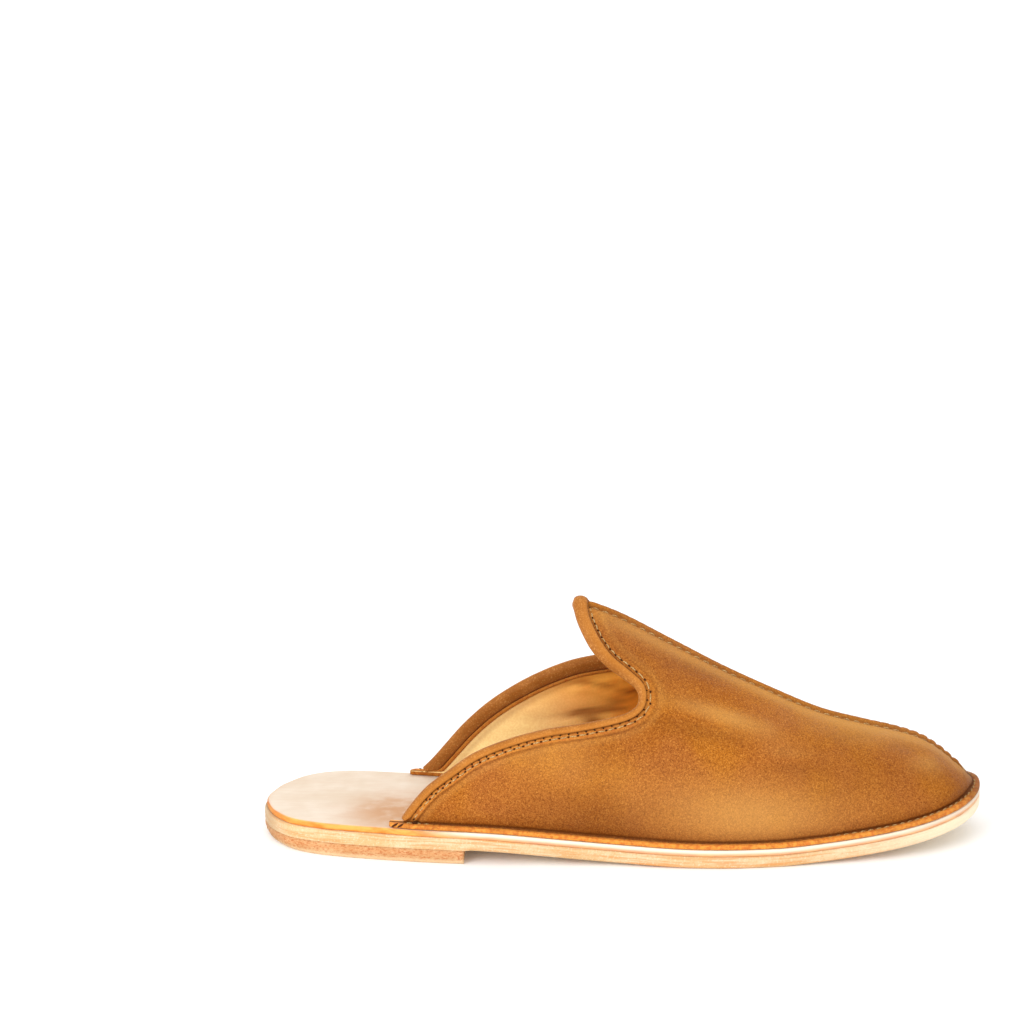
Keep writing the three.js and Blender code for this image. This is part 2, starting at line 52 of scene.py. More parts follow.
# Thicknesses and small widths. LEATHER is the outer leather of the wall, with the lining inside it.
GAP = 0.3
OUTSOLE_THICK = 4.8
INSOLE_THICK = 2.2
WALL = 1.8
LEATHER = 1.1
FLANGE_THICK = 1.7
FLANGE_WIDTH = 3.0
FLANGE_INSET = 0.15
SEAT_INSET = 0.9

# Shares of the sole's length.
BREAST_AT = 0.283
SEAT_END = 0.175
SEAT_BLEND = 0.045
FLANGE_AT = {-1: 0.181, 1: 0.2}

# Stitches: pitch, thread and the lines they follow.
STITCH_PITCH = 3.3
COLLAR_PITCH = 3.6
SEAM_PITCH = 4.1
THREAD = 0.56
THREAD_SIDES = 7
SEAM_LINE = 2.35

# The bound edge: how far the roll reaches past the edge, and out of the outer and the inner face.
ROLL_PAST = 1.6
ROLL_HIGH = 1.15
ROLL_IN_HIGH = 1.3

# The bands beside the bound edge at rows of the collar's table, measured from the cut edge: the
# roll's reach, the line of stitches, the step down from the stitched strip and how marked it is,
# and the roll's reach over the lining.
BAND_NAMES = ("row", "roll", "line", "step", "mark", "inside")
BAND_ROWS = (
    (0.0, 1.5, 2.7, 3.9, 1.0, 3.6),
    (3.5, 1.4, 2.7, 4.0, 1.0, 3.9),
    (8.0, 1.3, 2.8, 4.4, 0.9, 4.8),
    (11.0, 1.2, 3.0, 5.0, 0.5, 5.0),
    (13.0, 2.2, 3.9, 6.0, 0.25, 4.9),
    (15.0, 3.3, 4.6, 7.0, 0.1, 4.6),
    (18.0, 3.6, 4.9, 7.8, 0.05, 4.4),
)

# One row per section, from the back of the heel to the tip of the toe. at and top_at are shares of
# the sole length, axis, outer and inner of the ball width, rise of the toe spring and top of the
# tongue height. tent and full are the powers of the section's curve.
SECTION_NAMES = ("at", "axis", "outer", "inner", "rise", "top_at", "top", "tent", "full")
SECTION_ROWS = (
    (0.000, 0.000, 0.000, 0.000, 0.500, 0.0000, 1.070, 1.50, 2.10),
    (0.010, 0.000, 0.130, 0.145, 0.500, 0.0100, 1.070, 1.50, 2.10),
    (0.024, 0.000, 0.208, 0.232, 0.500, 0.0240, 1.070, 1.50, 2.10),
    (0.045, 0.000, 0.278, 0.318, 0.500, 0.0450, 1.070, 1.50, 2.10),
    (0.075, 0.000, 0.326, 0.372, 0.500, 0.0750, 1.070, 1.50, 2.10),
    (0.115, 0.002, 0.365, 0.390, 0.500, 0.1150, 1.070, 1.50, 2.10),
    (0.175, 0.007, 0.408, 0.362, 0.500, 0.1750, 1.070, 1.50, 2.10),
    (0.245, 0.010, 0.443, 0.318, 0.500, 0.2450, 1.060, 1.50, 2.10),
    (0.324, 0.015, 0.468, 0.278, 0.450, 0.3240, 1.040, 1.50, 2.10),
    (0.404, 0.020, 0.474, 0.270, 0.270, 0.4040, 0.995, 1.50, 2.10),
    (0.483, 0.025, 0.486, 0.312, 0.110, 0.4830, 0.920, 1.50, 2.10),
    (0.563, 0.029, 0.514, 0.394, 0.023, 0.5630, 0.798, 1.55, 2.10),
    (0.632, 0.034, 0.524, 0.463, 0.000, 0.6320, 0.689, 1.65, 2.15),
    (0.702, 0.038, 0.505, 0.494, 0.000, 0.7020, 0.591, 1.75, 2.20),
    (0.771, 0.044, 0.471, 0.480, 0.100, 0.7710, 0.503, 1.85, 2.20),
    (0.831, 0.049, 0.436, 0.434, 0.235, 0.8310, 0.455, 1.90, 2.20),
    (0.881, 0.056, 0.398, 0.370, 0.390, 0.8780, 0.422, 1.90, 2.20),
    (0.9205, 0.062, 0.352, 0.300, 0.555, 0.9135, 0.386, 1.90, 2.20),
    (0.9555, 0.067, 0.285, 0.225, 0.735, 0.9415, 0.333, 1.90, 2.15),
    (0.980, 0.071, 0.200, 0.150, 0.880, 0.9615, 0.280, 1.90, 2.10),
    (0.995, 0.074, 0.103, 0.077, 0.970, 0.9770, 0.238, 1.90, 2.05),
    (1.000, 0.076, 0.000, 0.000, 1.000, 0.9890, 0.210, 1.90, 2.00),
)

# The edge of the opening, from the wing's foot round the corner to the tip of the tongue.
COLLAR_NAMES = ("outer_at", "outer_high", "inner_at", "inner_high")
COLLAR_ROWS = (
    (0.200, 0.153, 0.220, 0.153),
    (0.213, 0.212, 0.235, 0.200),
    (0.235, 0.290, 0.255, 0.273),
    (0.265, 0.361, 0.281, 0.368),
    (0.299, 0.431, 0.313, 0.464),
    (0.343, 0.483, 0.348, 0.543),
    (0.390, 0.518, 0.388, 0.613),
    (0.433, 0.536, 0.430, 0.665),
    (0.470, 0.554, 0.470, 0.690),
    (0.500, 0.576, 0.500, 0.705),
    (0.516, 0.605, 0.516, 0.719),
    (0.521, 0.643, 0.521, 0.740),
    (0.516, 0.684, 0.516, 0.764),
    (0.498, 0.725, 0.504, 0.790),
    (0.4765, 0.769, 0.490, 0.820),
    (0.4595, 0.819, 0.475, 0.855),
    (0.448, 0.872, 0.460, 0.895),
    (0.4395, 0.924, 0.446, 0.935),
    (0.4355, 0.972, 0.4355, 0.972),
)
CORNER_ROW = 11
TIP_ROW = len(COLLAR_ROWS) - 1
LAST = len(SECTION_ROWS) - 1
QUARTER = math.pi / 2

# Rows of the sections between which the wings and the tongue lie.
UPPER_ROWS = (4, 14)


def columns(names, rows):
    return {name: np.array([row[i] for row in rows]) for i, name in enumerate(names)}


SECTION = columns(SECTION_NAMES, SECTION_ROWS)
COLLAR = columns(COLLAR_NAMES, COLLAR_ROWS)
SIDE_NAME = {-1: "outer", 1: "inner"}


# Shape of the shoe

def read(values, place, flips=False):
    """Smooth reading between the rows of a table, mirrored past both of its ends."""
    place = np.asarray(place, float)
    last = len(values) - 1
    row = np.clip(np.floor(place).astype(int), 0, last - 1)
    f = place - row
    sign = -1.0 if flips else 1.0
    padded = np.concatenate([[sign * values[1]], values, [sign * values[-2]]])
    a, b, c, d = padded[row], padded[row + 1], padded[row + 2], padded[row + 3]
    curve = 2 * a - 5 * b + 4 * c - d
    twist = 3 * b - 3 * c + d - a
    return b + 0.5 * f * (c - a + f * (curve + f * twist))


def place_of(values, wanted, low, high):
    """The place in a table where a column that only grows or only falls reaches a value."""
    wanted = np.asarray(wanted, float)
    grows = values[int(round(high))] > values[int(round(low))]
    low = np.full(wanted.shape, float(low))
    high = np.full(wanted.shape, float(high))
    for _ in range(40):
        mid = (low + high) / 2
        below = (read(values, mid) < wanted) == grows
        low = np.where(below, mid, low)
        high = np.where(below, high, mid)
    return (low + high) / 2


def share_at(place):
    """The share of the sole's length at a place, which is counted in rows of the sections' table."""
    return read(SECTION["at"], place)


def place_at(share):
    return place_of(SECTION["at"], share, *UPPER_ROWS)


def axis_at(place):
    return read(SECTION["axis"], place) * BALL_WIDTH


def bare_outline(place, side):
    half = read(SECTION[SIDE_NAME[side]], place, True) * BALL_WIDTH
    return share_at(place) * SOLE_LENGTH, axis_at(place) + side * half


def outline(place, side, inset):
    """The sole's outline on one side (-1 outer, 1 inner), moved inwards by an inset."""
    place = np.asarray(place, float)
    step = 0.02
    x, y = bare_outline(place, side)
    x0, y0 = bare_outline(np.maximum(place - step, 0), side)
    x1, y1 = bare_outline(np.minimum(place + step, LAST), side)
    dx, dy = x1 - x0, y1 - y0
    long = np.hypot(dx, dy)
    out_x = x + side * inset * dy / long
    out_y = y - side * inset * dx / long
    out_x = np.where(place < 1e-6, x + inset, out_x)
    out_x = np.where(place > LAST - 1e-6, x - inset, out_x)
    ends = (place < 1e-6) | (place > LAST - 1e-6)
    return out_x, np.where(ends, y, out_y)


def underside(place):
    return np.maximum(0, read(SECTION["rise"], place) * TOE_SPRING)


def insole_foot(place):
    return underside(place) + OUTSOLE_THICK + GAP


def insole_top(place):
    return insole_foot(place) + INSOLE_THICK


def flange_foot(place):
    return insole_top(place) + GAP


def flange_top(place):
    return flange_foot(place) + FLANGE_THICK


def seat_inset(place):
    """The insole is a little smaller than the outsole round the heel seat."""
    forward = np.clip((share_at(place) - SEAT_END) / SEAT_BLEND, 0, 1)
    return SEAT_INSET * (1 - forward * forward * (3 - 2 * forward))


def upper_point(place, side, angle):
    """A point of the upper's outer face; angle runs from 0 at the flange to a quarter turn."""
    place, angle = np.broadcast_arrays(np.asarray(place, float), np.asarray(angle, float))
    foot_x, foot_y = outline(place, side, FLANGE_WIDTH)
    low = flange_top(place)
    end = place > LAST - 1e-6
    ridge_x = np.where(end, foot_x, read(SECTION["top_at"], place) * SOLE_LENGTH)
    ridge_y = axis_at(place)
    ridge_z = np.where(end, low, read(SECTION["top"], place) * TONGUE_HEIGHT)
    across = np.maximum(np.cos(angle), 0) ** (2 / read(SECTION["tent"], place))
    up = np.maximum(np.sin(angle), 0) ** (2 / read(SECTION["full"], place))
    return np.stack([
        ridge_x + (foot_x - ridge_x) * across,
        ridge_y + (foot_y - ridge_y) * across,
        low + (ridge_z - low) * up,
    ], axis=-1)


def unit(v):
    return v / np.maximum(np.linalg.norm(v, axis=-1, keepdims=True), 1e-12)


def arc_length(points):
    """Lengths along a line of points, from its first one."""
    return np.concatenate([[0], np.cumsum(np.linalg.norm(np.diff(points, axis=0), axis=1))])


def read_line(places, arc, line):
    """Points of a line, or ways along it, at given lengths along it."""
    return np.stack([np.interp(places, arc, line[:, k]) for k in range(3)], axis=-1)


def side_normal(place, side, angle):
    p = np.clip(place, 0.02, LAST - 0.02)
    a = np.clip(angle, 0.01, QUARTER - 0.03)
    along = upper_point(p + 0.01, side, a) - upper_point(p - 0.01, side, a)
    turn = upper_point(p, side, a + 0.01) - upper_point(p, side, a - 0.01)
    return unit(np.cross(along, turn) * -side)


def upper_normal(place, side, angle):
    """The way out of the upper's face, evened out over the seam and at the tip of the toe."""
    place, angle = np.broadcast_arrays(np.asarray(place, float), np.asarray(angle, float))
    own = side_normal(place, side, angle)
    other = side_normal(place, -side, angle)
    near = np.clip((angle - QUARTER + 0.12) / 0.12, 0, 1)[..., None]
    way = unit(own * (2 - near) + other * near)
    return np.where((place > LAST - 1e-6)[..., None], np.array([1.0, 0.0, 0.0]), way)


def collar_spot(row, side):
    """The place along the shoe and the angle round the section of points of the collar."""
    row = np.asarray(row, float)
    name = SIDE_NAME[side]
    place = place_at(read(COLLAR[name + "_at"], row))
    high = read(COLLAR[name + "_high"], row) * TONGUE_HEIGHT
    low = flange_top(place)
    ridge = read(SECTION["top"], place) * TONGUE_HEIGHT
    share = np.clip((high - low) / (ridge - low), 0, 1)
    angle = np.arcsin(share ** (read(SECTION["full"], place) / 2))
    return place, np.where(row > TIP_ROW - 1e-6, QUARTER, angle)


def spaced_angles(place, side, start, end, shares):
    """Angles from start to end at shares of the arc between them, one row per place."""
    found = []
    for p, a, b in zip(place, start, end):
        fine = a + (b - a) * np.linspace(0, 1, 241)
        points = upper_point(np.full(fine.shape, p), side, fine)
        arc = arc_length(points)
        if arc[-1] < 1e-6:
            found.append(np.full(len(shares), a))
            continue
        found.append(np.interp(np.array(shares) * arc[-1], arc, fine))
    return np.array(found)


def walk(rows, side, distances):
    """Walks over the upper's face from collar points, square to the edge and into the leather.

    Gives the points, the ways out and the ways into the leather, one row per collar point."""
    rows = np.asarray(rows, float)
    place, angle = collar_spot(rows, side)
    tipped = rows > TIP_ROW - 1e-6

    def spot(r):
        p, a = collar_spot(np.clip(r, 0, TIP_ROW), side)
        return upper_point(p, side, a)

    tangent = unit(spot(rows + 0.05) - spot(rows - 0.05))
    tangent[tipped] = np.array([0.0, -side, 0.0])
    way = upper_normal(place, side, angle)
    into = unit(np.cross(way, tangent) * side)
    ahead = upper_point(place + 0.05, side, QUARTER) - upper_point(place, side, QUARTER)
    into[tipped] = unit(ahead)[tipped]
    points = [upper_point(place, side, angle)]
    ways = [way]
    p, a = place.copy(), angle.copy()
    gone = 0.0
    pieces = 3
    for distance in distances:
        for _ in range(pieces):
            safe = np.clip(a, 0.02, QUARTER - 0.02)
            along = (upper_point(p + 0.01, side, safe) - upper_point(p - 0.01, side, safe)) * 50
            turn = (upper_point(p, side, safe + 0.01) - upper_point(p, side, safe - 0.01)) * 50
            stride = (distance - gone) / pieces
            aa, ab, bb = (along * along).sum(-1), (along * turn).sum(-1), (turn * turn).sum(-1)
            da, db = (along * into).sum(-1), (turn * into).sum(-1)
            det = aa * bb - ab * ab
            go_p = np.where(tipped, stride / np.sqrt(aa), stride * (bb * da - ab * db) / det)
            go_a = np.where(tipped, 0, stride * (aa * db - ab * da) / det)
            p = p + go_p
            a = np.clip(a + go_a, 0, QUARTER)
        gone = distance
        points.append(upper_point(p, side, a))
        ways.append(upper_normal(p, side, a))
    return np.array(points), np.array(ways), into


# Meshes

def to_frame(points):
    """Points in the shoe's own millimetres, from the heel's back, as metres in the frame."""
    return (points + np.array([-SOLE_LENGTH / 2, SHIFT_Y, 0.0])) * MM


# Points of a mesh that lie closer than this, in mm, become one.
WELD = 0.004


class Body:
    """Collects grids of points and makes one welded mesh of them."""

    def __init__(self):
        self.points, self.tones, self.faces = [], [], []
        self.count = 0

    def grid(self, points, tones=None, flip=False, closed=False):
        """points is rows x columns x 3; neighbours are joined with quads."""
        rows, cols = points.shape[:2]
        index = self.count + np.arange(rows * cols).reshape(rows, cols)
        if closed:
            index = np.concatenate([index, index[:, :1]], axis=1)
        a, b = index[:-1, :-1].ravel(), index[:-1, 1:].ravel()
        c, d = index[1:, 1:].ravel(), index[1:, :-1].ravel()
        shades = np.zeros(3) if tones is None else tones
        self.points.append(points.reshape(-1, 3))
        self.tones.append(np.broadcast_to(shades, points.shape).reshape(-1, 3))
        self.faces.append(np.stack([a, d, c, b] if flip else [a, b, c, d], axis=1))
        self.count += rows * cols

    def build(self, name, material):
        mesh = bpy.data.meshes.new(name)
        points = to_frame(np.concatenate(self.points))
        faces = np.concatenate(self.faces)
        mesh.vertices.add(len(points))
        mesh.vertices.foreach_set("co", points.astype(np.float32).ravel())
        mesh.loops.add(faces.size)
        mesh.loops.foreach_set("vertex_index", faces.astype(np.int32).ravel())
        mesh.polygons.add(len(faces))
        mesh.polygons.foreach_set("loop_start", np.arange(0, faces.size, 4, dtype=np.int32))
        mesh.update(calc_edges=True)
        tones = np.concatenate(self.tones)
        layer = mesh.attributes.new("tone", "FLOAT_COLOR", "POINT")
        full = np.hstack([tones, np.ones((len(tones), 1))])
        layer.data.foreach_set("color", full.astype(np.float32).ravel())
        work = bmesh.new()
        work.from_mesh(mesh)
        bmesh.ops.remove_doubles(work, verts=work.verts, dist=WELD * MM)
        bmesh.ops.dissolve_degenerate(work, dist=WELD * MM, edges=work.edges)
        work.to_mesh(mesh)
        work.free()
        for polygon in mesh.polygons:
            polygon.use_smooth = True
        mesh.materials.append(material)
        piece = bpy.data.objects.new(name, mesh)
        bpy.context.scene.collection.objects.link(piece)
        return piece


def settle(piece, slot, *nodes):
    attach(piece, "root")
    if nodes:
        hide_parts(*nodes)
    return piece


def bell(distance, width):
    return np.exp(-((distance / width) ** 2))


def wave(points, size, seed):
    """Soft seeded noise from about -1 to 1 at points, with features of a given size."""
    shift = Vector((seed * 17.3, seed * 5.1, seed * 9.7))
    flat = points.reshape(-1, 3) / size
    values = [noise.noise(Vector(p) + shift) for p in flat]
    return np.array(values).reshape(points.shape[:-1]) * 1.6


# Upper

# Soft troughs and ridges of the outer vamp, given one by one: where each starts and ends, as shares of
# the sole's length and of the way up from the flange to the seam, its half width and its height.
FOLD_NAMES = ("at", "up", "to_at", "to_up", "width", "high")
FOLDS = {
    -1: (
        (0.550, 0.60, 0.690, 0.64, 4.2, 0.85),
        (0.545, 0.49, 0.650, 0.51, 4.5, -0.65),
        (0.560, 0.84, 0.640, 0.90, 5.0, -0.45),
        (0.690, 0.46, 0.745, 0.50, 3.5, 0.35),
        (0.690, 0.38, 0.760, 0.42, 4.0, -0.35),
        (0.790, 0.72, 0.835, 0.80, 4.0, -0.40),
        (0.860, 0.70, 0.915, 0.74, 3.5, -0.40),
        (0.900, 0.50, 0.945, 0.56, 4.5, 0.45),
        (0.300, 0.30, 0.480, 0.22, 9.0, 0.50),
    ),
    1: (
        (0.545, 0.72, 0.690, 0.78, 5.5, 0.70),
        (0.545, 0.62, 0.660, 0.64, 5.5, -0.60),
        (0.640, 0.45, 0.740, 0.55, 5.0, 0.45),
        (0.670, 0.36, 0.760, 0.44, 4.5, -0.40),
        (0.900, 0.50, 0.940, 0.58, 4.0, 0.35),
    ),
}

# Grid of the upper: rows below and above the corner of its edge, columns of wings, tongue and vamp.
LOW_ROWS = 50
HIGH_ROWS = 50
WING_COLUMNS = 110
TONGUE_COLUMNS = 56
VAMP_COLUMNS = 150


def ease_both(count, depth):
    u = np.linspace(0, 1, count + 1)
    return u - depth * np.sin(2 * math.pi * u) / (2 * math.pi)


def smooth_step(value, low, high):
    t = np.clip((value - low) / (high - low), 0, 1)
    return t * t * (3 - 2 * t)


# Points along the collar from a wing's foot to the tip of the tongue.
COLLAR_STEPS = 700


def collar_lines():
    """The collar from the outer wing's foot over the tongue to the inner wing's foot."""
    rows = np.linspace(0, TIP_ROW, COLLAR_STEPS)
    place, angle = collar_spot(rows, -1)
    outer = upper_point(place, -1, angle)
    place, angle = collar_spot(rows[:-1], 1)
    inner = upper_point(place, 1, angle)[::-1]
    points = np.concatenate([outer, inner])
    return points, arc_length(points), np.concatenate([rows, rows[:-1][::-1]])


COLLAR_POINTS, COLLAR_ARC, COLLAR_ALONG = collar_lines()
TIP_ARC = COLLAR_ARC[COLLAR_STEPS - 1]
BAND = columns(BAND_NAMES, BAND_ROWS)


def band(name, rows):
    return np.interp(rows, BAND["row"], BAND[name])


collar_tree = kdtree.KDTree(len(COLLAR_POINTS))
for number, spot in enumerate(COLLAR_POINTS):
    collar_tree.insert(spot, number)
collar_tree.balance()


def from_collar(points):
    """How far points lie from the collar, and where along it."""
    flat = points.reshape(-1, 3)
    away, along = np.empty(len(flat)), np.empty(len(flat))
    for i, point in enumerate(flat):
        _, nearest, distance = collar_tree.find(point)
        away[i] = distance
        along[i] = COLLAR_ARC[nearest]
    return away.reshape(points.shape[:-1]), along.reshape(points.shape[:-1])


SEAM_PLACES = np.linspace(0, LAST, 1200)
SEAM_ARC = arc_length(upper_point(SEAM_PLACES, -1, QUARTER))


def seam_profile(distance, along, place):
    """The raised centre seam, pinched at each stitch, with a crease along its foot."""
    at = share_at(place)
    pinch = (0.5 + 0.5 * np.cos(2 * math.pi * along / SEAM_PITCH)) ** 3
    depth = 0.05 + 0.33 * smooth_step(at, 0.82, 0.95)
    crest = 1.45 * np.exp(-((distance / 1.55) ** 4)) * (1 - depth * pinch)
    crease = -0.34 * bell(distance - SEAM_LINE, 0.6) * (0.5 + 0.5 * pinch)
    shoulder = 0.28 * bell(distance - 4.6, 1.7)
    end = 1 - smooth_step(at, 0.985, 1.0)
    return (crest + crease + shoulder) * end


# Soft patches of painted shade and painted light on the vamp: place along and up, half sizes in mm,
# dark and pale shares.
PATCH_NAMES = ("at", "up", "long", "tall", "dark", "pale")
PATCHES = (
    (0.470, 0.66, 20.0, 24.0, 0.34, 0.00),
    (0.570, 0.86, 26.0, 9.0, 0.14, 0.00),
    (0.560, 0.30, 28.0, 16.0, 0.10, 0.00),
    (0.455, 0.05, 32.0, 9.0, 0.50, 0.00),
    (0.780, 0.46, 28.0, 22.0, 0.18, 0.00),
    (0.880, 0.36, 26.0, 22.0, 0.20, 0.00),
    (0.960, 0.30, 10.0, 16.0, 0.18, 0.00),
    (0.360, 0.45, 26.0, 14.0, 0.00, 0.30),
    (0.660, 0.12, 36.0, 11.0, 0.00, 0.80),
    (0.655, 0.60, 16.0, 6.0, 0.00, 0.35),
    (0.560, 0.70, 14.0, 10.0, 0.10, 0.00),
    (0.830, 0.80, 30.0, 7.0, 0.00, 0.45),
    (0.915, 0.52, 8.0, 6.0, 0.00, 0.30),
)


def patch_tones(at, up, length):
    dark, pale = np.zeros(at.shape), np.zeros(at.shape)
    for row in PATCHES:
        patch = dict(zip(PATCH_NAMES, row))
        x = (at - patch["at"]) * SOLE_LENGTH / patch["long"]
        y = (up - patch["up"]) * length / patch["tall"]
        soft = np.exp(-(x * x + y * y))
        dark += patch["dark"] * soft
        pale += patch["pale"] * soft
    return dark, pale


def fold_height(at, up, side, length):
    height = np.zeros(at.shape)
    for row in FOLDS[side]:
        fold = dict(zip(FOLD_NAMES, row))
        ax, ay = fold["at"] * SOLE_LENGTH, fold["up"] * length
        bx, by = fold["to_at"] * SOLE_LENGTH, fold["to_up"] * length
        px, py = at * SOLE_LENGTH, up * length
        dx, dy = bx - ax, by - ay
        t = ((px - ax) * dx + (py - ay) * dy) / (dx * dx + dy * dy)
        t = np.clip(t, 0, 1)
        away = np.hypot(px - ax - t * dx, py - ay - t * dy)
        ends = np.sin(math.pi * np.clip(t, 0.08, 0.92)) ** 0.5
        height += fold["high"] * bell(away, fold["width"]) * ends
    return height


def shape_face(place, side, angle):
    """The displaced outer face, the inner face, and the dark, pale and orange shares of each point;
    dark is mostly painted shade, pale painted light.
    """
    points = upper_point(place, side, angle)
    ways = upper_normal(place, side, angle)
    feet = upper_point(place, side, 0 * angle)
    tops = upper_point(place, side, 0 * angle + QUARTER)
    reach = np.hypot(feet[..., 0] - tops[..., 0], feet[..., 1] - tops[..., 1])
    across = np.maximum(np.cos(angle), 0) ** (2 / read(SECTION["tent"], place))
    seam_away = reach * across * np.sqrt(1 + (0.55 * (1 - across)) ** 2)
    rise = points[..., 2] - feet[..., 2]
    length = np.maximum(reach + tops[..., 2] - feet[..., 2], 1e-6) * 0.78
    up = np.clip((rise + reach * (1 - across)) * 0.78 / length, 0, 1)
    at = share_at(place)
    seam_along = np.interp(place, SEAM_PLACES, SEAM_ARC)
    collar_away, collar_along = from_collar(points)
    collar_row = np.interp(collar_along, COLLAR_ARC, COLLAR_ALONG)
    roll, line = band("roll", collar_row), band("line", collar_row)
    ledge, mark = band("step", collar_row), band("mark", collar_row)

    foot_end = 1 - smooth_step(at, 0.985, 1.0)
    high = seam_profile(seam_away, seam_along, place)
    phase = 0.5 + 0.5 * np.cos(2 * math.pi * collar_along / COLLAR_PITCH)
    clear = smooth_step(seam_away, 1.5, 4.0)
    strip = smooth_step(collar_away - roll, 0.15, 0.85)
    strip *= 1 - smooth_step(collar_away - ledge, -0.35, 0.35)
    high += clear * 0.50 * strip * mark
    high += clear * (-0.26 * bell(collar_away - line, 0.65))
    high += clear * (-0.16 * bell(collar_away - line, 0.8) * phase ** 2)
    high += clear * (0.30 * bell(collar_away - ledge - 2.2, 1.5))
    high += -0.30 * smooth_step(roll + 0.5 - collar_away, 0, 0.8)
    tuck = 0.5 + 0.5 * np.cos(2 * math.pi * at * SOLE_LENGTH / STITCH_PITCH)
    high += foot_end * (-0.40 * bell(rise, 0.8) + 0.35 * bell(rise - 4.5, 2.8))
    high += foot_end * (-0.12 * tuck * bell(rise - 1.5, 2.2))
    quiet = smooth_step(collar_away, 3.0, 9.0) * smooth_step(seam_away, 2.0, 6.0) * foot_end
    fold = quiet * fold_height(at, up, side, length)
    high += fold
    high += quiet * (0.30 * wave(points, 26.0, 1) + 0.12 * wave(points, 9.0, 2))
    high += quiet * 0.045 * wave(points, 2.6, 3) * smooth_step(rise, 0, 2)

    dots = 0.5 + 0.5 * np.cos(2 * math.pi * collar_along / STITCH_PITCH)
    # Painted shade and painted light from the vamp's patches.
    dark, pale = patch_tones(at, up, length)
    # Painted shade: darker along the foot of the wall by the flange and in the troughs of the folds.
    dark += 0.80 * bell(rise, 0.8) + 0.32 * bell(rise, 4.5) + 0.40 * np.clip(-fold, 0, 1)
    # Painted shade in the groove beside the roll and its holes, in the holes of the stitch line and
    # along the step.
    dark += clear * (0.50 + 0.5 * dots ** 4) * bell(collar_away - roll - 0.25, 0.30)
    dark += clear * 0.6 * phase ** 4 * bell(collar_away - line, 0.42)
    dark += clear * 0.55 * mark * bell(collar_away - ledge - 0.2, 0.45)
    # Painted shade in the crease beside the seam; the crest is a little darker as well.
    dark += 0.50 * bell(seam_away - SEAM_LINE + 0.5, 0.5) + 0.16 * bell(seam_away - 0.6, 1.1)
    # Painted shade low on the toe.
    toe = smooth_step(at, 0.93, 0.985)
    dark += 0.30 * toe * (1 - smooth_step(rise, 0, 9))
    # Painted sheen: a paler band beside the seam, forward of the tongue.
    pale += 0.75 * bell(seam_away - 6.0, 4.5) * smooth_step(at, 0.40, 0.52)
    # Painted highlight on the rise past the step and along the ridges of the folds.
    pale += 0.25 * clear * bell(collar_away - ledge - 1.6, 1.4) + 0.60 * np.clip(fold, 0, 1)
    orange = 0.55 * mark * smooth_step(ledge - collar_away, 0, 0.6)
    outer = points + ways * high[..., None]
    outer[-1] = points[-1]
    inner = points - ways * LEATHER * mitred(place, side, angle, ways)
    return outer, inner, np.clip(np.stack([dark, pale, orange], axis=-1), 0, 1)


def mitred(place, side, angle, ways):
    """Keeps the wall's thickness where the two sides meet at the seam."""
    own = side_normal(place, side, angle)
    sharp = np.maximum((ways * own).sum(-1), 0.6)
    at_seam = (angle > QUARTER - 1e-6) & (place < LAST - 1e-6)
    return np.where(at_seam, 1 / sharp, 1.0)[..., None]


def face_layout(side):
    """Columns and angles of one side's grid: the part below the corner and the part above it."""
    edge = COLLAR[SIDE_NAME[side] + "_at"]
    first, tip, corner = edge[0], edge[TIP_ROW], edge[CORNER_ROW]
    wing_at = np.linspace(FLANGE_AT[side], tip, WING_COLUMNS + 1)[:-1]
    turn = (1 - np.cos(math.pi * np.linspace(0, 1, TONGUE_COLUMNS + 1))) / 2
    tongue_at = tip + (corner - tip) * turn
    corner_place = float(place_at(corner))
    u = np.linspace(0, 1, VAMP_COLUMNS + 1)[1:]
    vamp = corner_place + (LAST - corner_place) * (0.45 * u + 0.55 * u ** 1.35)
    vamp[-1] = LAST
    vamp_at = share_at(vamp)
    tongue = place_at(tongue_at)
    tongue[-1] = corner_place
    split = float(collar_spot(CORNER_ROW, side)[1])

    def edge_angle(place, at, low_row, high_row, past_edge, angle_there):
        angle = collar_spot(place_of(edge, at, low_row, high_row), side)[1]
        angle = np.where(past_edge, angle_there, angle)
        return np.where(place >= corner_place - 1e-9, split, angle)

    low_places = np.concatenate([place_at(wing_at), tongue, vamp])
    low_at = np.concatenate([wing_at, tongue_at, vamp_at])
    high_places = np.concatenate([tongue, vamp])
    high_at = np.concatenate([tongue_at, vamp_at])
    tops = edge_angle(low_places, low_at, 0, CORNER_ROW, low_at <= first, 0.0)
    feet = edge_angle(high_places, high_at, CORNER_ROW, TIP_ROW, high_at <= tip + 1e-6, QUARTER)
    low = spaced_angles(low_places, side, 0 * tops, tops, ease_both(LOW_ROWS, 0.6))
    high = spaced_angles(high_places, side, feet, 0 * feet + QUARTER, ease_both(HIGH_ROWS, 0.72))
    low[:, -1] = tops
    high[:, 0] = feet
    high[:, -1] = QUARTER
    low = np.broadcast_to(low_places[:, None], low.shape), low
    high = np.broadcast_to(high_places[:, None], high.shape), high
    return low, high, len(wing_at) + len(tongue_at), len(tongue_at)


# The turned-out edge in section: how far in from the sole's outline and how far down from its top.
FLANGE_RING = (
    (2.75, 0.45), (2.45, 0.30), (2.1, 0.08), (1.6, 0.0), (1.0, 0.0), (0.45, 0.03), (0.16, 0.16),
    (0.03, 0.45), (0.0, 0.85), (0.02, 1.3), (0.14, 1.58), (0.4, 1.7),
)
STUB_ROUND = 2.4


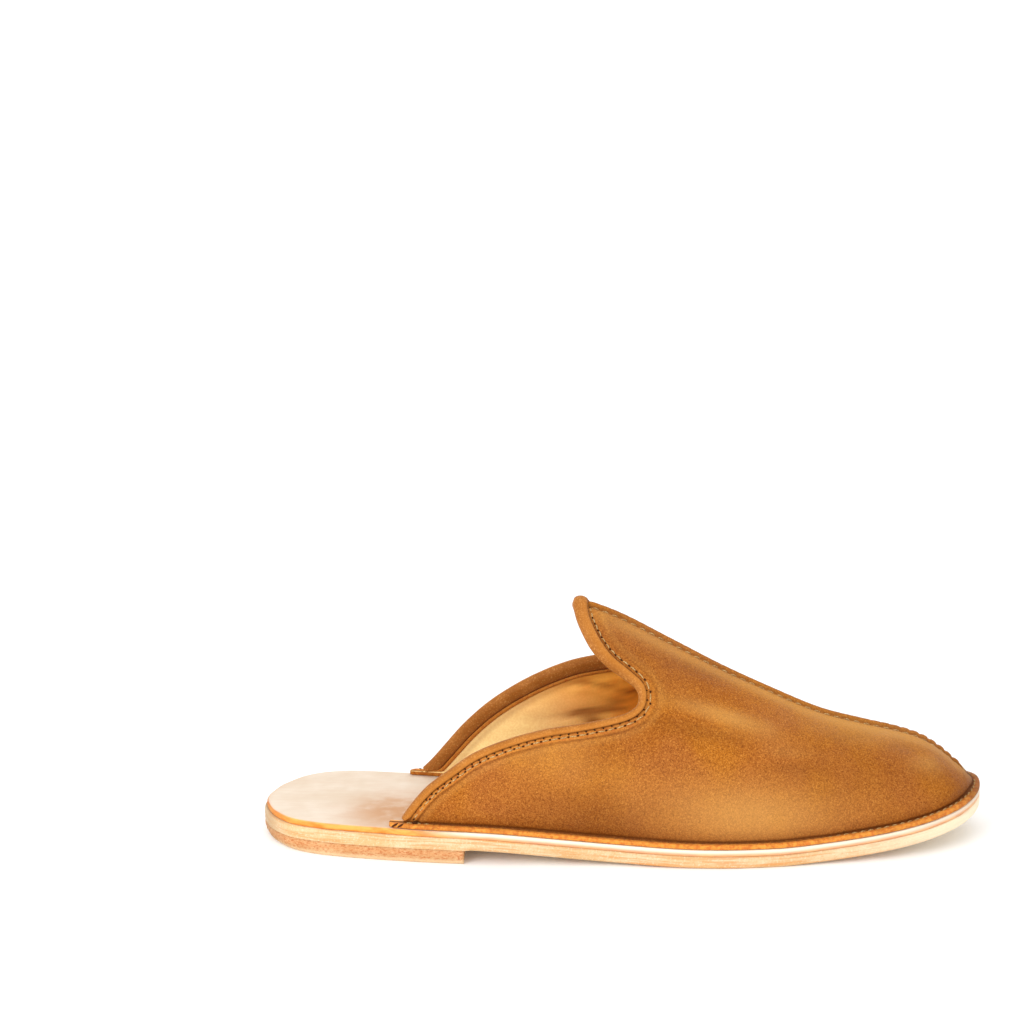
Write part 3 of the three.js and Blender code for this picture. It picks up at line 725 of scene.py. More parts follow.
def flange_rows(places, side, inner_foot):
    """The turned-out edge below the wall, from the stitched groove round to the inner foot."""
    start = float(share_at(places[0])) * SOLE_LENGTH
    x = share_at(places) * SOLE_LENGTH
    end = np.clip(1 - (x - start) / STUB_ROUND, 0, 1)
    rounding = STUB_ROUND * (1 - np.sqrt(1 - end ** 2))
    base = seat_inset(places) + FLANGE_INSET + rounding
    rows = []
    for inset, down in FLANGE_RING:
        deep = np.minimum(base + inset, FLANGE_WIDTH - 0.1)
        ox, oy = outline(places, side, deep)
        rough = 0.05 * wave(np.stack([ox, oy, 0 * ox], axis=-1), 3.0, 4)
        if down > 0.1:
            ox, oy = outline(places, side, np.maximum(deep + rough, 0.02))
        rows.append(np.stack([ox, oy, flange_top(places) - down], axis=-1))
    foot = inner_foot.copy()
    foot[:, 2] = flange_foot(places)
    rows.append(foot)
    return np.array(rows)


def shut_opening(body, outer, inner, count, edge, flip):
    """Joins two sheets along the edge of the opening, over its first columns."""
    body.grid(np.stack([outer[:count, edge], inner[:count, edge]]), None, flip)


def flange_tones(ring, places):
    """Orange cut leather: redder by the wings, browner toward the toe, with painted shade in the
    stitched groove and under the flange.
    """
    at = share_at(places)
    tones = np.zeros(ring.shape)
    tones[1:, :, 2] = 1.0
    # Painted shade in the groove where the flange meets the wall.
    tones[:3, :, 0] = np.array([[0.85], [0.6], [0.2]])
    tones[..., 0] += 0.60 * smooth_step(at, 0.95, 0.99)
    tones[..., 0] += 0.22 - 0.20 * smooth_step(at, 0.26, 0.40)
    tones[..., 0] += 0.16 * smooth_step(at, 0.70, 0.90) + 0.16 * wave(ring, 2.4, 51)
    # Painted shade on the underside of the flange.
    tones[-4:, :, 0] += 0.25
    return np.clip(tones, 0, 1)


def make_upper(material):
    body = Body()
    for side in (-1, 1):
        low, high, wing_count, tongue_count = face_layout(side)
        flip = side > 0
        low_out, low_in, low_tone = shape_face(low[0], side, low[1])
        high_out, high_in, high_tone = shape_face(high[0], side, high[1])
        high_in[-1] = high_in[-1, :1]
        low_in[-1] = high_in[-1, :1]
        body.grid(low_out, low_tone, not flip)
        body.grid(high_out, high_tone, not flip)
        body.grid(low_in[:, ::2], None, flip)
        body.grid(high_in[:, ::2], None, flip)
        places = low[0][:, 0]
        rows = flange_rows(places, side, low_in[:, 0])
        ring = np.concatenate([low_out[None, :, 0], rows, low_in[None, :, 0]])
        body.grid(ring, flange_tones(ring, places), not flip)
        shut_opening(body, low_out, low_in, wing_count, -1, flip)
        shut_opening(body, high_out, high_in, tongue_count, 0, not flip)
        cap = ring[:, 0]
        middle = np.broadcast_to(cap.mean(0), cap.shape)
        body.grid(np.stack([cap, middle]), np.array([0.2, 0.0, 0.8]), flip)
    return settle(body.build("upper_leather", material), "upper", "upper")


def make_lining(material):
    """The thin lining inside the wall, with soft folds under the tongue and painted shade in their
    troughs and below the roll's inner reach.
    """
    body = Body()
    outer_skin, inner_skin = LEATHER + 0.12, WALL + 0.1
    for side in (-1, 1):
        low, high, wing_count, tongue_count = face_layout(side)
        flip = side > 0
        sheets = []
        for place, angle in (low, high):
            place, angle = place[::2], angle[::2]
            face = upper_point(place, side, angle)
            ways = upper_normal(place, side, angle)
            mitre = mitred(place, side, angle, ways)
            away, _ = from_collar(face)
            quiet = smooth_step(away, 5.0, 12.0)
            at = share_at(place)
            soft = 0.30 + 0.45 * smooth_step(at, 0.38, 0.46)
            fold = quiet * soft * wave(face * np.array([0.40, 1.0, 1.7]), 6.0, 7)
            out = face - ways * outer_skin * mitre
            inn = face - ways * (inner_skin + 0.35 * quiet + fold)[..., None] * mitre
            # Painted shade in the troughs of the folds and in a band below the roll's inner reach.
            crease = np.clip(-1.7 * fold * smooth_step(at, 0.34, 0.46), 0, 1)
            crease = crease + 0.5 * bell(away - band("inside", 18.0) - 3.0, 1.6)
            sheets.append((out, inn, np.stack([crease, 0 * crease, 0 * crease], axis=-1)))
        (low_out, low_in, low_tone), (high_out, high_in, high_tone) = sheets
        body.grid(low_out, None, not flip)
        body.grid(high_out, None, not flip)
        body.grid(low_in, low_tone, flip)
        body.grid(high_in, high_tone, flip)
        body.grid(np.stack([low_out[:, 0], low_in[:, 0]]), None, not flip)
        wing_count, tongue_count = (wing_count + 1) // 2, (tongue_count + 1) // 2
        shut_opening(body, low_out, low_in, wing_count, -1, flip)
        shut_opening(body, high_out, high_in, tongue_count, 0, not flip)
    return settle(body.build("lining", material), "lining")


# Topline

# How far above the wing's foot the edge pieces start, in rows of the collar.
COLLAR_MARGIN = 0.35


def collar_stations(step):
    """Collar rows at an even distance along the whole edge, with their sides."""
    start = np.interp(COLLAR_MARGIN, COLLAR_ALONG[:COLLAR_STEPS], COLLAR_ARC[:COLLAR_STEPS])
    end = COLLAR_ARC[-1] - (start - COLLAR_ARC[0])
    count = int((end - start) / step)
    arcs = np.linspace(start, end, count + 1)
    arcs = np.unique(np.append(arcs, TIP_ARC))
    rows = np.interp(arcs, COLLAR_ARC, COLLAR_ALONG)
    return arcs, rows, np.where(arcs <= TIP_ARC + 1e-9, -1, 1)


def evened(values):
    """Values smoothed along the stations, which are counted by the last axis but one."""
    for _ in range(10):
        inner = (values[..., :-2, :] + values[..., 2:, :]) / 4 + values[..., 1:-1, :] / 2
        values = np.concatenate([values[..., :1, :], inner, values[..., -1:, :]], axis=-2)
    return values


class Edge:
    """Cross-sections square to the collar, at stations along it, on the curved leather."""

    def __init__(self, step, reach, count):
        self.arcs, self.rows, self.sides = collar_stations(step)
        self.distances = np.linspace(0, reach, count + 1)
        shape = (count + 1, len(self.rows), 3)
        self.points, self.ways = np.empty(shape), np.empty(shape)
        self.into = np.empty(shape[1:])
        for side in (-1, 1):
            mine = self.sides == side
            points, ways, into = walk(self.rows[mine], side, self.distances[1:])
            self.points[:, mine], self.ways[:, mine], self.into[mine] = points, ways, into
        self.soften()

    def soften(self):
        """Evens out the sections near the tip of the tongue, where the two sides meet."""
        near = bell(self.arcs - TIP_ARC, 9.0)[:, None]
        self.ways = unit(self.ways + (evened(self.ways) - self.ways) * near)
        self.points = self.points + (evened(self.points) - self.points) * near
        self.into = unit(self.into + (evened(self.into) - self.into) * near)

    def spot(self, far, out):
        """Points at a distance into the leather (or past its edge) and out of its face."""
        far = np.broadcast_to(np.asarray(far, float), self.arcs.shape)
        out = np.broadcast_to(np.asarray(out, float), self.arcs.shape)
        inside = np.clip(far, 0, self.distances[-1])
        place = inside / self.distances[1]
        low = np.clip(place.astype(int), 0, len(self.distances) - 2)
        share = (place - low)[:, None]
        every = np.arange(len(self.arcs))
        point = self.points[low, every] * (1 - share) + self.points[low + 1, every] * share
        way = unit(self.ways[low, every] * (1 - share) + self.ways[low + 1, every] * share)
        past = np.minimum(far, 0)[:, None]
        return point + self.into * past + way * out[:, None]

    def room(self):
        """How far the walk may go before it meets the flange near the wing's foot."""
        place = np.empty(self.arcs.shape)
        for side in (-1, 1):
            mine = self.sides == side
            place[mine] = collar_spot(self.rows[mine], side)[0]
        slope = np.maximum(-self.into[:, 2], 0.05)
        return (self.points[0, :, 2] - flange_top(place) - 0.3) / slope


def sweep(body, rings, tones, flip, cap_tones):
    """A closed sweep of rings of points, with its two ends shut."""
    body.grid(rings, tones, flip, closed=True)
    for ring, turned in ((rings[0], flip), (rings[-1], not flip)):
        middle = np.broadcast_to(ring.mean(0), ring.shape)
        body.grid(np.stack([middle, ring]), cap_tones, turned, closed=True)


def sweep_profile(body, loops, tones):
    """A sweep given as profile x stations, as the pieces along the edge are."""
    sweep(body, np.swapaxes(loops, 0, 1), np.swapaxes(tones, 0, 1), False, None)


def roll_profile(reach, inside):
    """The binding in section: distances into the leather and out of its face, with dark and orange
    shares; the dark share is painted shade, in the groove at the roll's outer foot and on its inner
    side. reach is how far it covers the outer face at each station."""
    centre_out = (ROLL_HIGH - WALL - ROLL_IN_HIGH) / 2
    half = (ROLL_HIGH + WALL + ROLL_IN_HIGH) / 2
    middle = (reach - ROLL_PAST) / 2
    ring = []
    for turn in np.linspace(0, QUARTER, 8)[:-1]:
        out = 0.02 + (ROLL_HIGH - 0.02) * math.sin(turn) ** 0.8
        ring.append((middle + (reach - middle) * math.cos(turn), out, 0.75 * bell(turn, 0.45), 0.5))
    for turn in np.linspace(QUARTER, 2 * QUARTER, 9):
        far = middle + (middle + ROLL_PAST) * math.cos(turn)
        ring.append((far, centre_out + half * math.sin(turn), 0.0, 0.35 - 0.3 * bell(turn - 2.6, 0.7)))
    for turn in np.linspace(2 * QUARTER, 3 * QUARTER, 9)[1:]:
        far = 0.6 + (0.6 + ROLL_PAST) * math.cos(turn)
        ring.append((far + 0 * reach, centre_out + half * math.sin(turn), 0.22, 0.1))
    for t in np.linspace(0, 1, 9)[1:]:
        far = 0.6 + (inside - 0.6) * t
        ring.append((far, -WALL - ROLL_IN_HIGH + 0.75 * t ** 3, 0.30 + 0.6 * t ** 8, 0.1))
    ring.append((inside + 0.1, -WALL - 0.2, 0.8, 0.0))
    ring.append((inside - 0.4, -WALL - 0.05, 0.8, 0.0))
    for far, out in ((0.4, -WALL - 0.05), (0.0, -WALL / 2), (0.4, 0.02)):
        ring.append((far + 0 * reach, out, 0.8, 0.0))
    return ring


def make_binding(material):
    edge = Edge(0.55, 7.0, 14)
    shrink = np.clip(edge.room() / 5.0, 0.16, 1.0)
    body = Body()
    loops, tones = [], []
    lump = 0.06 * wave(edge.points[0], 7.0, 11) + 0.04 * wave(edge.points[0], 2.4, 12)
    tip = bell(edge.arcs - TIP_ARC, 4.2)
    reach = band("roll", edge.rows)
    for far, out, dark, orange in roll_profile(reach, band("inside", edge.rows)):
        f = np.where(far > 0, far * shrink, far * (1 + 0.2 * tip))
        outer = out > -WALL / 2
        puff = 1.5 if outer else 0.2
        o = out + (1 if outer else -1) * (lump * (1.0 if outer else 0.5) + puff * tip)
        loops.append(edge.spot(f, np.where(abs(out) < 0.1, out, o)))
        tones.append(np.stack([dark + 0 * reach, 0 * reach, orange * (1 - 0.6 * tip)], axis=-1))
    sweep_profile(body, np.array(loops), np.array(tones))
    return settle(body.build("binding_roll", material), "topline_binding", "topline_binding")


# The strip beside the roll inside: distances from the roll's edge and out of the outer face.
INNER_STRIP = (
    (0.1, -WALL - 0.1), (0.2, -WALL - 0.6), (0.7, -WALL - 0.85), (1.3, -WALL - 0.75),
    (1.7, -WALL - 0.5), (1.8, -WALL - 0.1), (1.0, -WALL - 0.08),
)
# The room that it needs beyond the roll, and its dark, pale and orange shares.
INNER_STRIP_WIDTH = 2.6
INNER_STRIP_TONE = (0.30, 0.0, 0.45)


def make_inner_strip(material):
    edge = Edge(0.6, 8.0, 16)
    body = Body()
    reach = band("inside", edge.rows)
    shrink = np.clip(edge.room() / (reach + INNER_STRIP_WIDTH), 0.2, 1.0)
    lump = 0.05 * wave(edge.points[0], 4.0, 21)
    loops = np.array([edge.spot((reach + far) * shrink, out + lump) for far, out in INNER_STRIP])
    sweep_profile(body, loops, np.broadcast_to(np.array(INNER_STRIP_TONE), loops.shape))
    return settle(body.build("inner_strip", material), "topline_binding")


# Threads

def tube(body, line, radius, tone):
    """A thread along a short line of points, round in section, thinner at its ends."""
    line, tone = np.array(line), np.array(tone, float)
    tangent = unit(np.gradient(line, axis=0))
    across = np.cross(tangent, np.array([0.0, 0.0, 1.0]))
    across[np.linalg.norm(across, axis=1) < 1e-3] = np.array([0.0, 1.0, 0.0])
    across = unit(across)
    up = np.cross(across, tangent)
    turns = np.linspace(0, 2 * math.pi, THREAD_SIDES, endpoint=False)[:, None]
    rings = []
    for i, point in enumerate(line):
        share = min(max(i / (len(line) - 1), 0.02), 0.98)
        wide = radius * (0.55 + 0.45 * math.sin(math.pi * share) ** 0.5)
        rings.append(point + wide * (np.cos(turns) * across[i] + np.sin(turns) * up[i]))
    sweep(body, np.array(rings), tone, True, tone)


def stitch(body, start, end, way, lean, high, tone=(0, 0, 0), thick=1.0):
    """One stitch from hole to hole: it rises out of the leather, lies on it and dips back in."""
    side = unit(np.cross(way, end - start))
    line = []
    for t in np.linspace(0, 1, 7):
        lift = high * (math.sin(math.pi * t) ** 0.6) - 0.22 * (1 - math.sin(math.pi * t))
        sway = lean * (0.5 - t)
        line.append(start + (end - start) * t + way * lift + side * sway)
    tube(body, line, THREAD * thick / 2, tone)


def dot(body, centre, way, along, long, wide):
    """A small hole: a shallow dish pressed into the leather, dark with painted shade."""
    across = unit(np.cross(way, along))
    turns = np.linspace(0, 2 * math.pi, 10, endpoint=False)
    ring = centre + np.cos(turns)[:, None] * along * long + np.sin(turns)[:, None] * across * wide
    rim = ring - way * 0.25
    top = ring + way * 0.03
    middle = np.broadcast_to(centre - way * 0.05, ring.shape)
    under = np.broadcast_to(centre - way * 0.25, ring.shape)
    body.grid(np.stack([middle, top, rim, under]), None, False, closed=True)


def whole_steps(edge, pitch, spare=0):
    """Lengths along the edge at whole numbers of a pitch, with some spared at its ends."""
    return np.arange(math.ceil(edge.arcs[0] / pitch) + spare, edge.arcs[-1] / pitch - spare) * pitch


def make_collar_stitches(thread, hole):
    """The row on the stitched band with its holes, and the finer holes in the groove by the roll."""
    edge = Edge(COLLAR_PITCH / 4, 8.0, 16)
    far, mark = band("line", edge.rows), band("mark", edge.rows)
    keep = edge.room() > far + 0.2
    line = edge.spot(far, -0.14 + 0.42 * mark)
    ways = unit(edge.spot(far, 1.0) - line)
    body, holes = Body(), Body()
    places = whole_steps(edge, COLLAR_PITCH)
    at = read_line(places, edge.arcs, line)
    way = unit(read_line(places, edge.arcs, ways))
    kept = np.interp(places, edge.arcs, keep.astype(float)) > 0.9
    at_seam = abs(places - TIP_ARC) < COLLAR_PITCH
    lean = 0.35 * wave(at * 3.0, 4.0, 41)
    for i in range(len(places) - 1):
        if not (kept[i] and kept[i + 1]):
            continue
        run = at[i + 1] - at[i]
        dot(holes, at[i], way[i], unit(run), 0.46, 0.36)
        if not (at_seam[i] and at_seam[i + 1]):
            middle = unit(way[i] + way[i + 1])
            stitch(body, at[i] + run * 0.17, at[i + 1] - run * 0.17, middle, lean[i], 0.30)
    groove = edge.spot(band("roll", edge.rows) + 0.5, 0.05 + 0.26 * mark)
    places = whole_steps(edge, STITCH_PITCH, 1)
    places = places[np.interp(places, edge.arcs, mark) > 0.4]
    at = read_line(places, edge.arcs, groove)
    way = unit(read_line(places, edge.arcs, ways))
    for i in range(len(places) - 1):
        dot(holes, at[i], way[i], unit(at[i + 1] - at[i]), 0.36, 0.34)
    settle(body.build("collar_stitches", thread), "thread")
    settle(holes.build("collar_stitch_holes", hole), "thread")


# Where the seam's stitches start behind the tip of the tongue, in mm, and their last section row.
SEAM_START = 5.4
SEAM_END_ROW = 20.3


def make_seam_stitches(thread):
    """A row on each flank of the centre seam, from behind the tongue's roll to the toe."""
    body = Body()
    tip_place = place_at(COLLAR["outer_at"][TIP_ROW])
    start_arc = float(np.interp(tip_place, SEAM_PLACES, SEAM_ARC)) + SEAM_START
    end_arc = float(np.interp(SEAM_END_ROW, SEAM_PLACES, SEAM_ARC))
    arcs = np.round(np.arange(start_arc, end_arc, SEAM_PITCH) / SEAM_PITCH) * SEAM_PITCH
    for side in (-1, 1):
        for i in range(len(arcs) - 1):
            ends = []
            for arc in (arcs[i] + 0.8, arcs[i + 1] - 0.8):
                place = float(np.interp(arc, SEAM_ARC, SEAM_PLACES))
                ends.append(seam_spot(place, side, SEAM_LINE - 0.15))
            (a, way_a), (b, way_b) = ends
            stitch(body, a, b, unit(way_a + way_b), 0.35 * side, 0.10, (0.05, 0, 0), 0.8)
    settle(body.build("seam_stitches", thread), "thread")


def seam_spot(place, side, distance):
    """A point on the seam's flank and the way out of the leather there."""
    angles = np.linspace(QUARTER - 0.5, QUARTER, 160)
    places = np.full(angles.shape, place)
    points = upper_point(places, side, angles)
    top = points[-1]
    away = np.linalg.norm(points - top, axis=1)
    angle = float(np.interp(-distance, -away, angles))
    here = np.array([place]), np.array([angle])
    way = upper_normal(here[0], side, here[1])[0]
    return upper_point(here[0], side, here[1])[0] + way * 0.15, way


def flange_spot(at, side, inset, down):
    place = float(place_at(at))
    x, y = outline(place, side, inset)
    return np.array([float(x), float(y), float(flange_top(place)) - down])


def make_flange_stitches(thread, hole):
    """The row in the groove between the turned-out edge and the wall, all round the shoe, with the
    knots and the hole at each of its ends."""
    body, holes = Body(), Body()
    up = np.array([0.0, 0.0, 1.0])
    for side in (-1, 1):
        first = COLLAR[SIDE_NAME[side] + "_at"][0]
        places = np.linspace(float(place_at(first + 0.003)), LAST - 0.02, 900)
        x, y = outline(places, side, FLANGE_WIDTH - 0.75)
        line = np.stack([x, y, flange_top(places) - 0.12], axis=-1)
        arc = arc_length(line)
        spots = np.arange(0, arc[-1], STITCH_PITCH)
        at = read_line(spots, arc, line)
        for i in range(len(spots) - 1):
            run = at[i + 1] - at[i]
            share = at[i][0] / SOLE_LENGTH
            # The dark share is painted shade on the thread deep in the groove, less where it stands
            # clear near the toe and by the wings.
            bare = smooth_step(share, 0.74, 0.80) + 1 - smooth_step(share, first + 0.02, first + 0.04)
            stitch(body, at[i] + run * 0.13, at[i + 1] - run * 0.13, up, 0.35 * side,
                   -0.15 + 0.40 * bare, (0.9 - 0.65 * bare, 0, 0))
        forward = np.array([1.0, 0.0, 0.0])
        slanted = unit(np.array([0.0, side, 0.7]))
        dot(holes, flange_spot(first + 0.017, side, 1.9, -0.35), slanted, forward, 1.05, 0.85)
        for k in range(2):
            start = flange_spot(first - 0.013 + 0.008 * k, side, 0.0, 1.1)
            end = flange_spot(first - 0.006 + 0.008 * k, side, 1.3, -0.1)
            stitch(body, start, end, slanted, 0.2, 0.15, (1.0, 0, 0), 1.5)
    settle(body.build("flange_stitches", thread), "thread")
    settle(holes.build("flange_holes", hole), "thread")


# Sole layers

def bridge(a, b, tones):
    """A sheet of points from one line to another, with the first line's tones."""
    sheet = a + (b - a) * np.linspace(0, 1, 13)[:, None, None]
    return sheet, np.broadcast_to(tones, sheet.shape)


def layer_mesh(name, node, to_place, steps, base, rings, material, seated=False):
    """A sole layer, from the heel to a place, of rings of inset, height over a base, roughness and
    tone, lowest ring first; both faces are closed."""
    places = to_place * np.linspace(0, 1, steps + 1)
    seat = seat_inset(places) if seated else 0
    body = Body()
    loops = {}
    for side in (-1, 1):
        rows, tones = [], []
        for inset, height, rough, tone in rings:
            inset = seat + (inset(places) if callable(inset) else inset)
            z = height(places) if callable(height) else base(places) + height
            tone = tone(places) if callable(tone) else np.array(tone, float)
            smooth = np.stack([*outline(places, side, inset), z], axis=-1)
            bump = rough * (0.6 * wave(smooth, 6.0, 31) + 0.4 * wave(smooth, 1.6, 32))
            x, y = outline(places, side, np.maximum(inset + bump, 0.01))
            rows.append(np.stack([x, y, z], axis=-1))
            tones.append(np.broadcast_to(tone, rows[-1].shape))
        loops[side] = np.array(rows), np.array(tones)
    (outer, tones), (inner, inner_tones) = loops[-1], loops[1]
    shut = to_place > LAST - 1e-6
    for end in (0, -1) if shut else (0,):
        outer[:, end] = inner[:, end] = (outer[:, end] + inner[:, end]) / 2
    body.grid(outer, tones, False)
    body.grid(inner, inner_tones, True)
    for k, flip in ((0, True), (-1, False)):
        body.grid(*bridge(outer[k], inner[k], tones[k]), flip)
    if not shut:
        body.grid(*bridge(outer[:, -1], inner[:, -1], tones[:, -1]), True)
    return settle(body.build(name, material), node, node)


def edge_tone(dark, orange_back, orange_front, pale_front=0.0):
    """Tones of a ring of the insole's edge: tanned at the heel, paler from the wings forward."""
    def tone(places):
        at = share_at(places)
        front = smooth_step(at, 0.20, 0.30)
        orange = orange_back + (orange_front - orange_back) * front
        # Darker toward the back of the heel.
        heel_back_dark = 0.75 * (1 - smooth_step(at, 0.0, 0.05))
        pale = pale_front * front * (1 - 0.65 * smooth_step(at, 0.72, 0.95))
        return np.stack([dark + heel_back_dark * orange, pale, orange], axis=-1)
    return tone


def worn_inset(inset, more):
    """The lift's lower edge is rounder at the back of the heel."""
    return lambda places: inset + more * (1 - smooth_step(share_at(places), 0.0, 0.10))


def open_bevel(inset):
    """The outsole's lower edge is bevelled only in front of the lift."""
    def insets(places):
        front = smooth_step(share_at(places), BREAST_AT, BREAST_AT + 0.01)
        return 0.1 + (inset - 0.1) * front
    return insets


def make_layers(outsole, insole, heel_lift):
    layer_mesh("outsole_leather", "outsole", LAST, 420, underside, (
        (open_bevel(1.3), 0.0, 0.0, (0.1, 0, 0)),
        (open_bevel(0.85), 0.12, 0.02, (0.1, 0.02, 0)),
        (open_bevel(0.4), 0.5, 0.05, (0, 0.1, 0)),
        (0.15, 1.1, 0.06, (0, 0.23, 0)),
        (0.04, 2.0, 0.06, (0, 0.42, 0)),
        (0.02, 3.0, 0.06, (0, 0.62, 0)),
        (0.06, 3.9, 0.06, (0, 0.81, 0)),
        (0.25, 4.5, 0.05, (0.0, 0.94, 0)),
        (0.6, OUTSOLE_THICK, 0.0, (0.1, 1, 0)),
    ), outsole)
    layer_mesh("insole_leather", "insole", LAST, 420, insole_foot, (
        (0.5, -0.25, 0.0, edge_tone(0.4, 1.0, 0.8)),
        (0.16, 0.1, 0.03, edge_tone(0.1, 1.0, 0.7)),
        (0.12, 0.6, 0.05, edge_tone(0.0, 1.0, 0.55)),
        (0.14, 1.1, 0.05, edge_tone(0.0, 1.0, 0.2, 0.4)),
        (0.22, 1.65, 0.05, edge_tone(0.0, 1.0, 0.05, 0.9)),
        (0.40, 2.05, 0.03, edge_tone(0.0, 0.9, 0.0, 1.0)),
        (0.75, INSOLE_THICK, 0.0, edge_tone(0.0, 0.15, 0.0, 0.8)),
        (1.5, INSOLE_THICK, 0.0, (0, 0, 0)),
    ), insole, True)
    layer_mesh("heel_lift_leather", "heel_lift", float(place_at(BREAST_AT)), 200, np.zeros_like, (
        (worn_inset(1.0, 2.6), 0.0, 0.0, (0.2, 0, 0)),
        (worn_inset(0.5, 1.9), 0.15, 0.05, (0.1, 0.03, 0)),
        (worn_inset(0.3, 1.1), 0.7, 0.10, (0, 0.13, 0)),
        (worn_inset(0.2, 0.5), 1.6, 0.16, (0, 0.3, 0)),
        (worn_inset(0.18, 0.2), 2.6, 0.18, (0.3, 0.5, 0)),
        (0.2, 3.6, 0.18, (0.6, 0.7, 0)),
        (0.2, 4.6, 0.10, (0.5, 0.87, 0)),
        (0.25, lambda places: underside(places) - GAP + 0.22, 0.0, (0.2, 1, 0)),
    ), heel_lift)


# Materials

class Nodes:
    """Small helper that adds linked shader nodes to a material."""

    def __init__(self, name, roughness, sheen=0.0):
        self.material = bpy.data.materials.new(name)
        self.material.use_nodes = True
        self.tree = self.material.node_tree
        self.tree.nodes.clear()
        self.shader = self.add("ShaderNodeBsdfPrincipled")
        output = self.add("ShaderNodeOutputMaterial")
        self.link(self.shader.outputs[0], output.inputs[0])
        self.shader.inputs["Roughness"].default_value = roughness
        self.shader.inputs["Sheen Weight"].default_value = sheen
        self.shader.inputs["Sheen Roughness"].default_value = 0.45
        self.shader.inputs["Specular IOR Level"].default_value = 0.1
        self.shader.inputs["Sheen Tint"].default_value = (1.0, 0.8, 0.6, 1.0)
        coordinates = self.add("ShaderNodeTexCoord")
        scale = self.add("ShaderNodeVectorMath")
        scale.operation = "SCALE"
        scale.inputs["Scale"].default_value = 1000.0
        self.link(coordinates.outputs["Object"], scale.inputs[0])
        self.place = scale.outputs[0]

    def add(self, kind):
        return self.tree.nodes.new(kind)

    def link(self, a, b):
        self.tree.links.new(a, b)

    def stretched(self, x, y, z):
        node = self.add("ShaderNodeVectorMath")
        node.operation = "MULTIPLY"
        node.inputs[1].default_value = (x, y, z)
        self.link(self.place, node.inputs[0])
        return node.outputs[0]

    def noise(self, size, detail=3.0, rough=0.55, place=None, distortion=0.0):
        node = self.add("ShaderNodeTexNoise")
        node.inputs["Scale"].default_value = 1.0 / size
        node.inputs["Detail"].default_value = detail
        node.inputs["Roughness"].default_value = rough
        node.inputs["Distortion"].default_value = distortion
        self.link(place or self.place, node.inputs["Vector"])
        return node.outputs["Fac"]

    def cells(self, size):
        node = self.add("ShaderNodeTexVoronoi")
        node.inputs["Scale"].default_value = 1.0 / size
        self.link(self.place, node.inputs["Vector"])
        return node.outputs["Distance"]

    def span(self, value, low, high, to_low=0.0, to_high=1.0):
        node = self.add("ShaderNodeMapRange")
        node.interpolation_type = "SMOOTHSTEP"
        limits = {"From Min": low, "From Max": high, "To Min": to_low, "To Max": to_high}
        for name, number in limits.items():
            node.inputs[name].default_value = number
        self.link(value, node.inputs["Value"])
        return node.outputs["Result"]

    def maths(self, kind, a, b):
        node = self.add("ShaderNodeMath")
        node.operation = kind
        for socket, value in zip(node.inputs, (a, b)):
            if isinstance(value, (int, float)):
                socket.default_value = value
            else:
                self.link(value, socket)
        return node.outputs[0]

    def mix(self, share, a, b):
        node = self.add("ShaderNodeMix")
        node.data_type = "RGBA"
        node.clamp_factor = True
        self.link(share, node.inputs[0])
        for socket, value in ((node.inputs[6], a), (node.inputs[7], b)):
            if isinstance(value, tuple):
                socket.default_value = (*value, 1.0)
            else:
                self.link(value, socket)
        return node.outputs[2]

    def over(self, colour, top, share, strength):
        """A colour with another one laid over it by a share, weakened by a strength."""
        return self.mix(self.maths("MULTIPLY", share, strength), colour, top)

    def near(self, x, y, z, size):
        """A soft round patch about a point of the frame, in millimetres."""
        node = self.add("ShaderNodeVectorMath")
        node.operation = "DISTANCE"
        node.inputs[1].default_value = (x, y, z)
        self.link(self.place, node.inputs[0])
        return self.span(node.outputs["Value"], size, 0.2 * size)

    def layered(self, height, thick):
        """A place that follows a layer's own height, for lines that run along its edge."""
        split, join = self.add("ShaderNodeSeparateXYZ"), self.add("ShaderNodeCombineXYZ")
        self.link(self.stretched(0.035, 0.035, 1.0), split.inputs[0])
        self.link(split.outputs[0], join.inputs[0])
        self.link(split.outputs[1], join.inputs[1])
        self.link(self.maths("MULTIPLY", height, thick), join.inputs[2])
        return join.outputs[0]

    def tones(self):
        """The dark, pale and orange shares that the mesh carries."""
        node = self.add("ShaderNodeAttribute")
        node.attribute_name = "tone"
        split = self.add("ShaderNodeSeparateColor")
        self.link(node.outputs["Color"], split.inputs[0])
        return split.outputs

    def finish(self, colour, height=None, depth=0.1, roughness=None):
        self.link(colour, self.shader.inputs["Base Color"])
        if roughness is not None:
            self.link(roughness, self.shader.inputs["Roughness"])
        if height is not None:
            bump = self.add("ShaderNodeBump")
            bump.inputs["Strength"].default_value = 1.0
            bump.inputs["Distance"].default_value = depth * MM
            self.link(height, bump.inputs["Height"])
            self.link(bump.outputs[0], self.shader.inputs["Normal"])
        return self.material


def srgb(red, green, blue):
    """A colour in 0..255 steps as the shader's linear numbers."""
    return tuple(
        v / 12.92 if v <= 0.04045 else ((v + 0.055) / 1.055) ** 2.4
        for v in (red / 255, green / 255, blue / 255)
    )


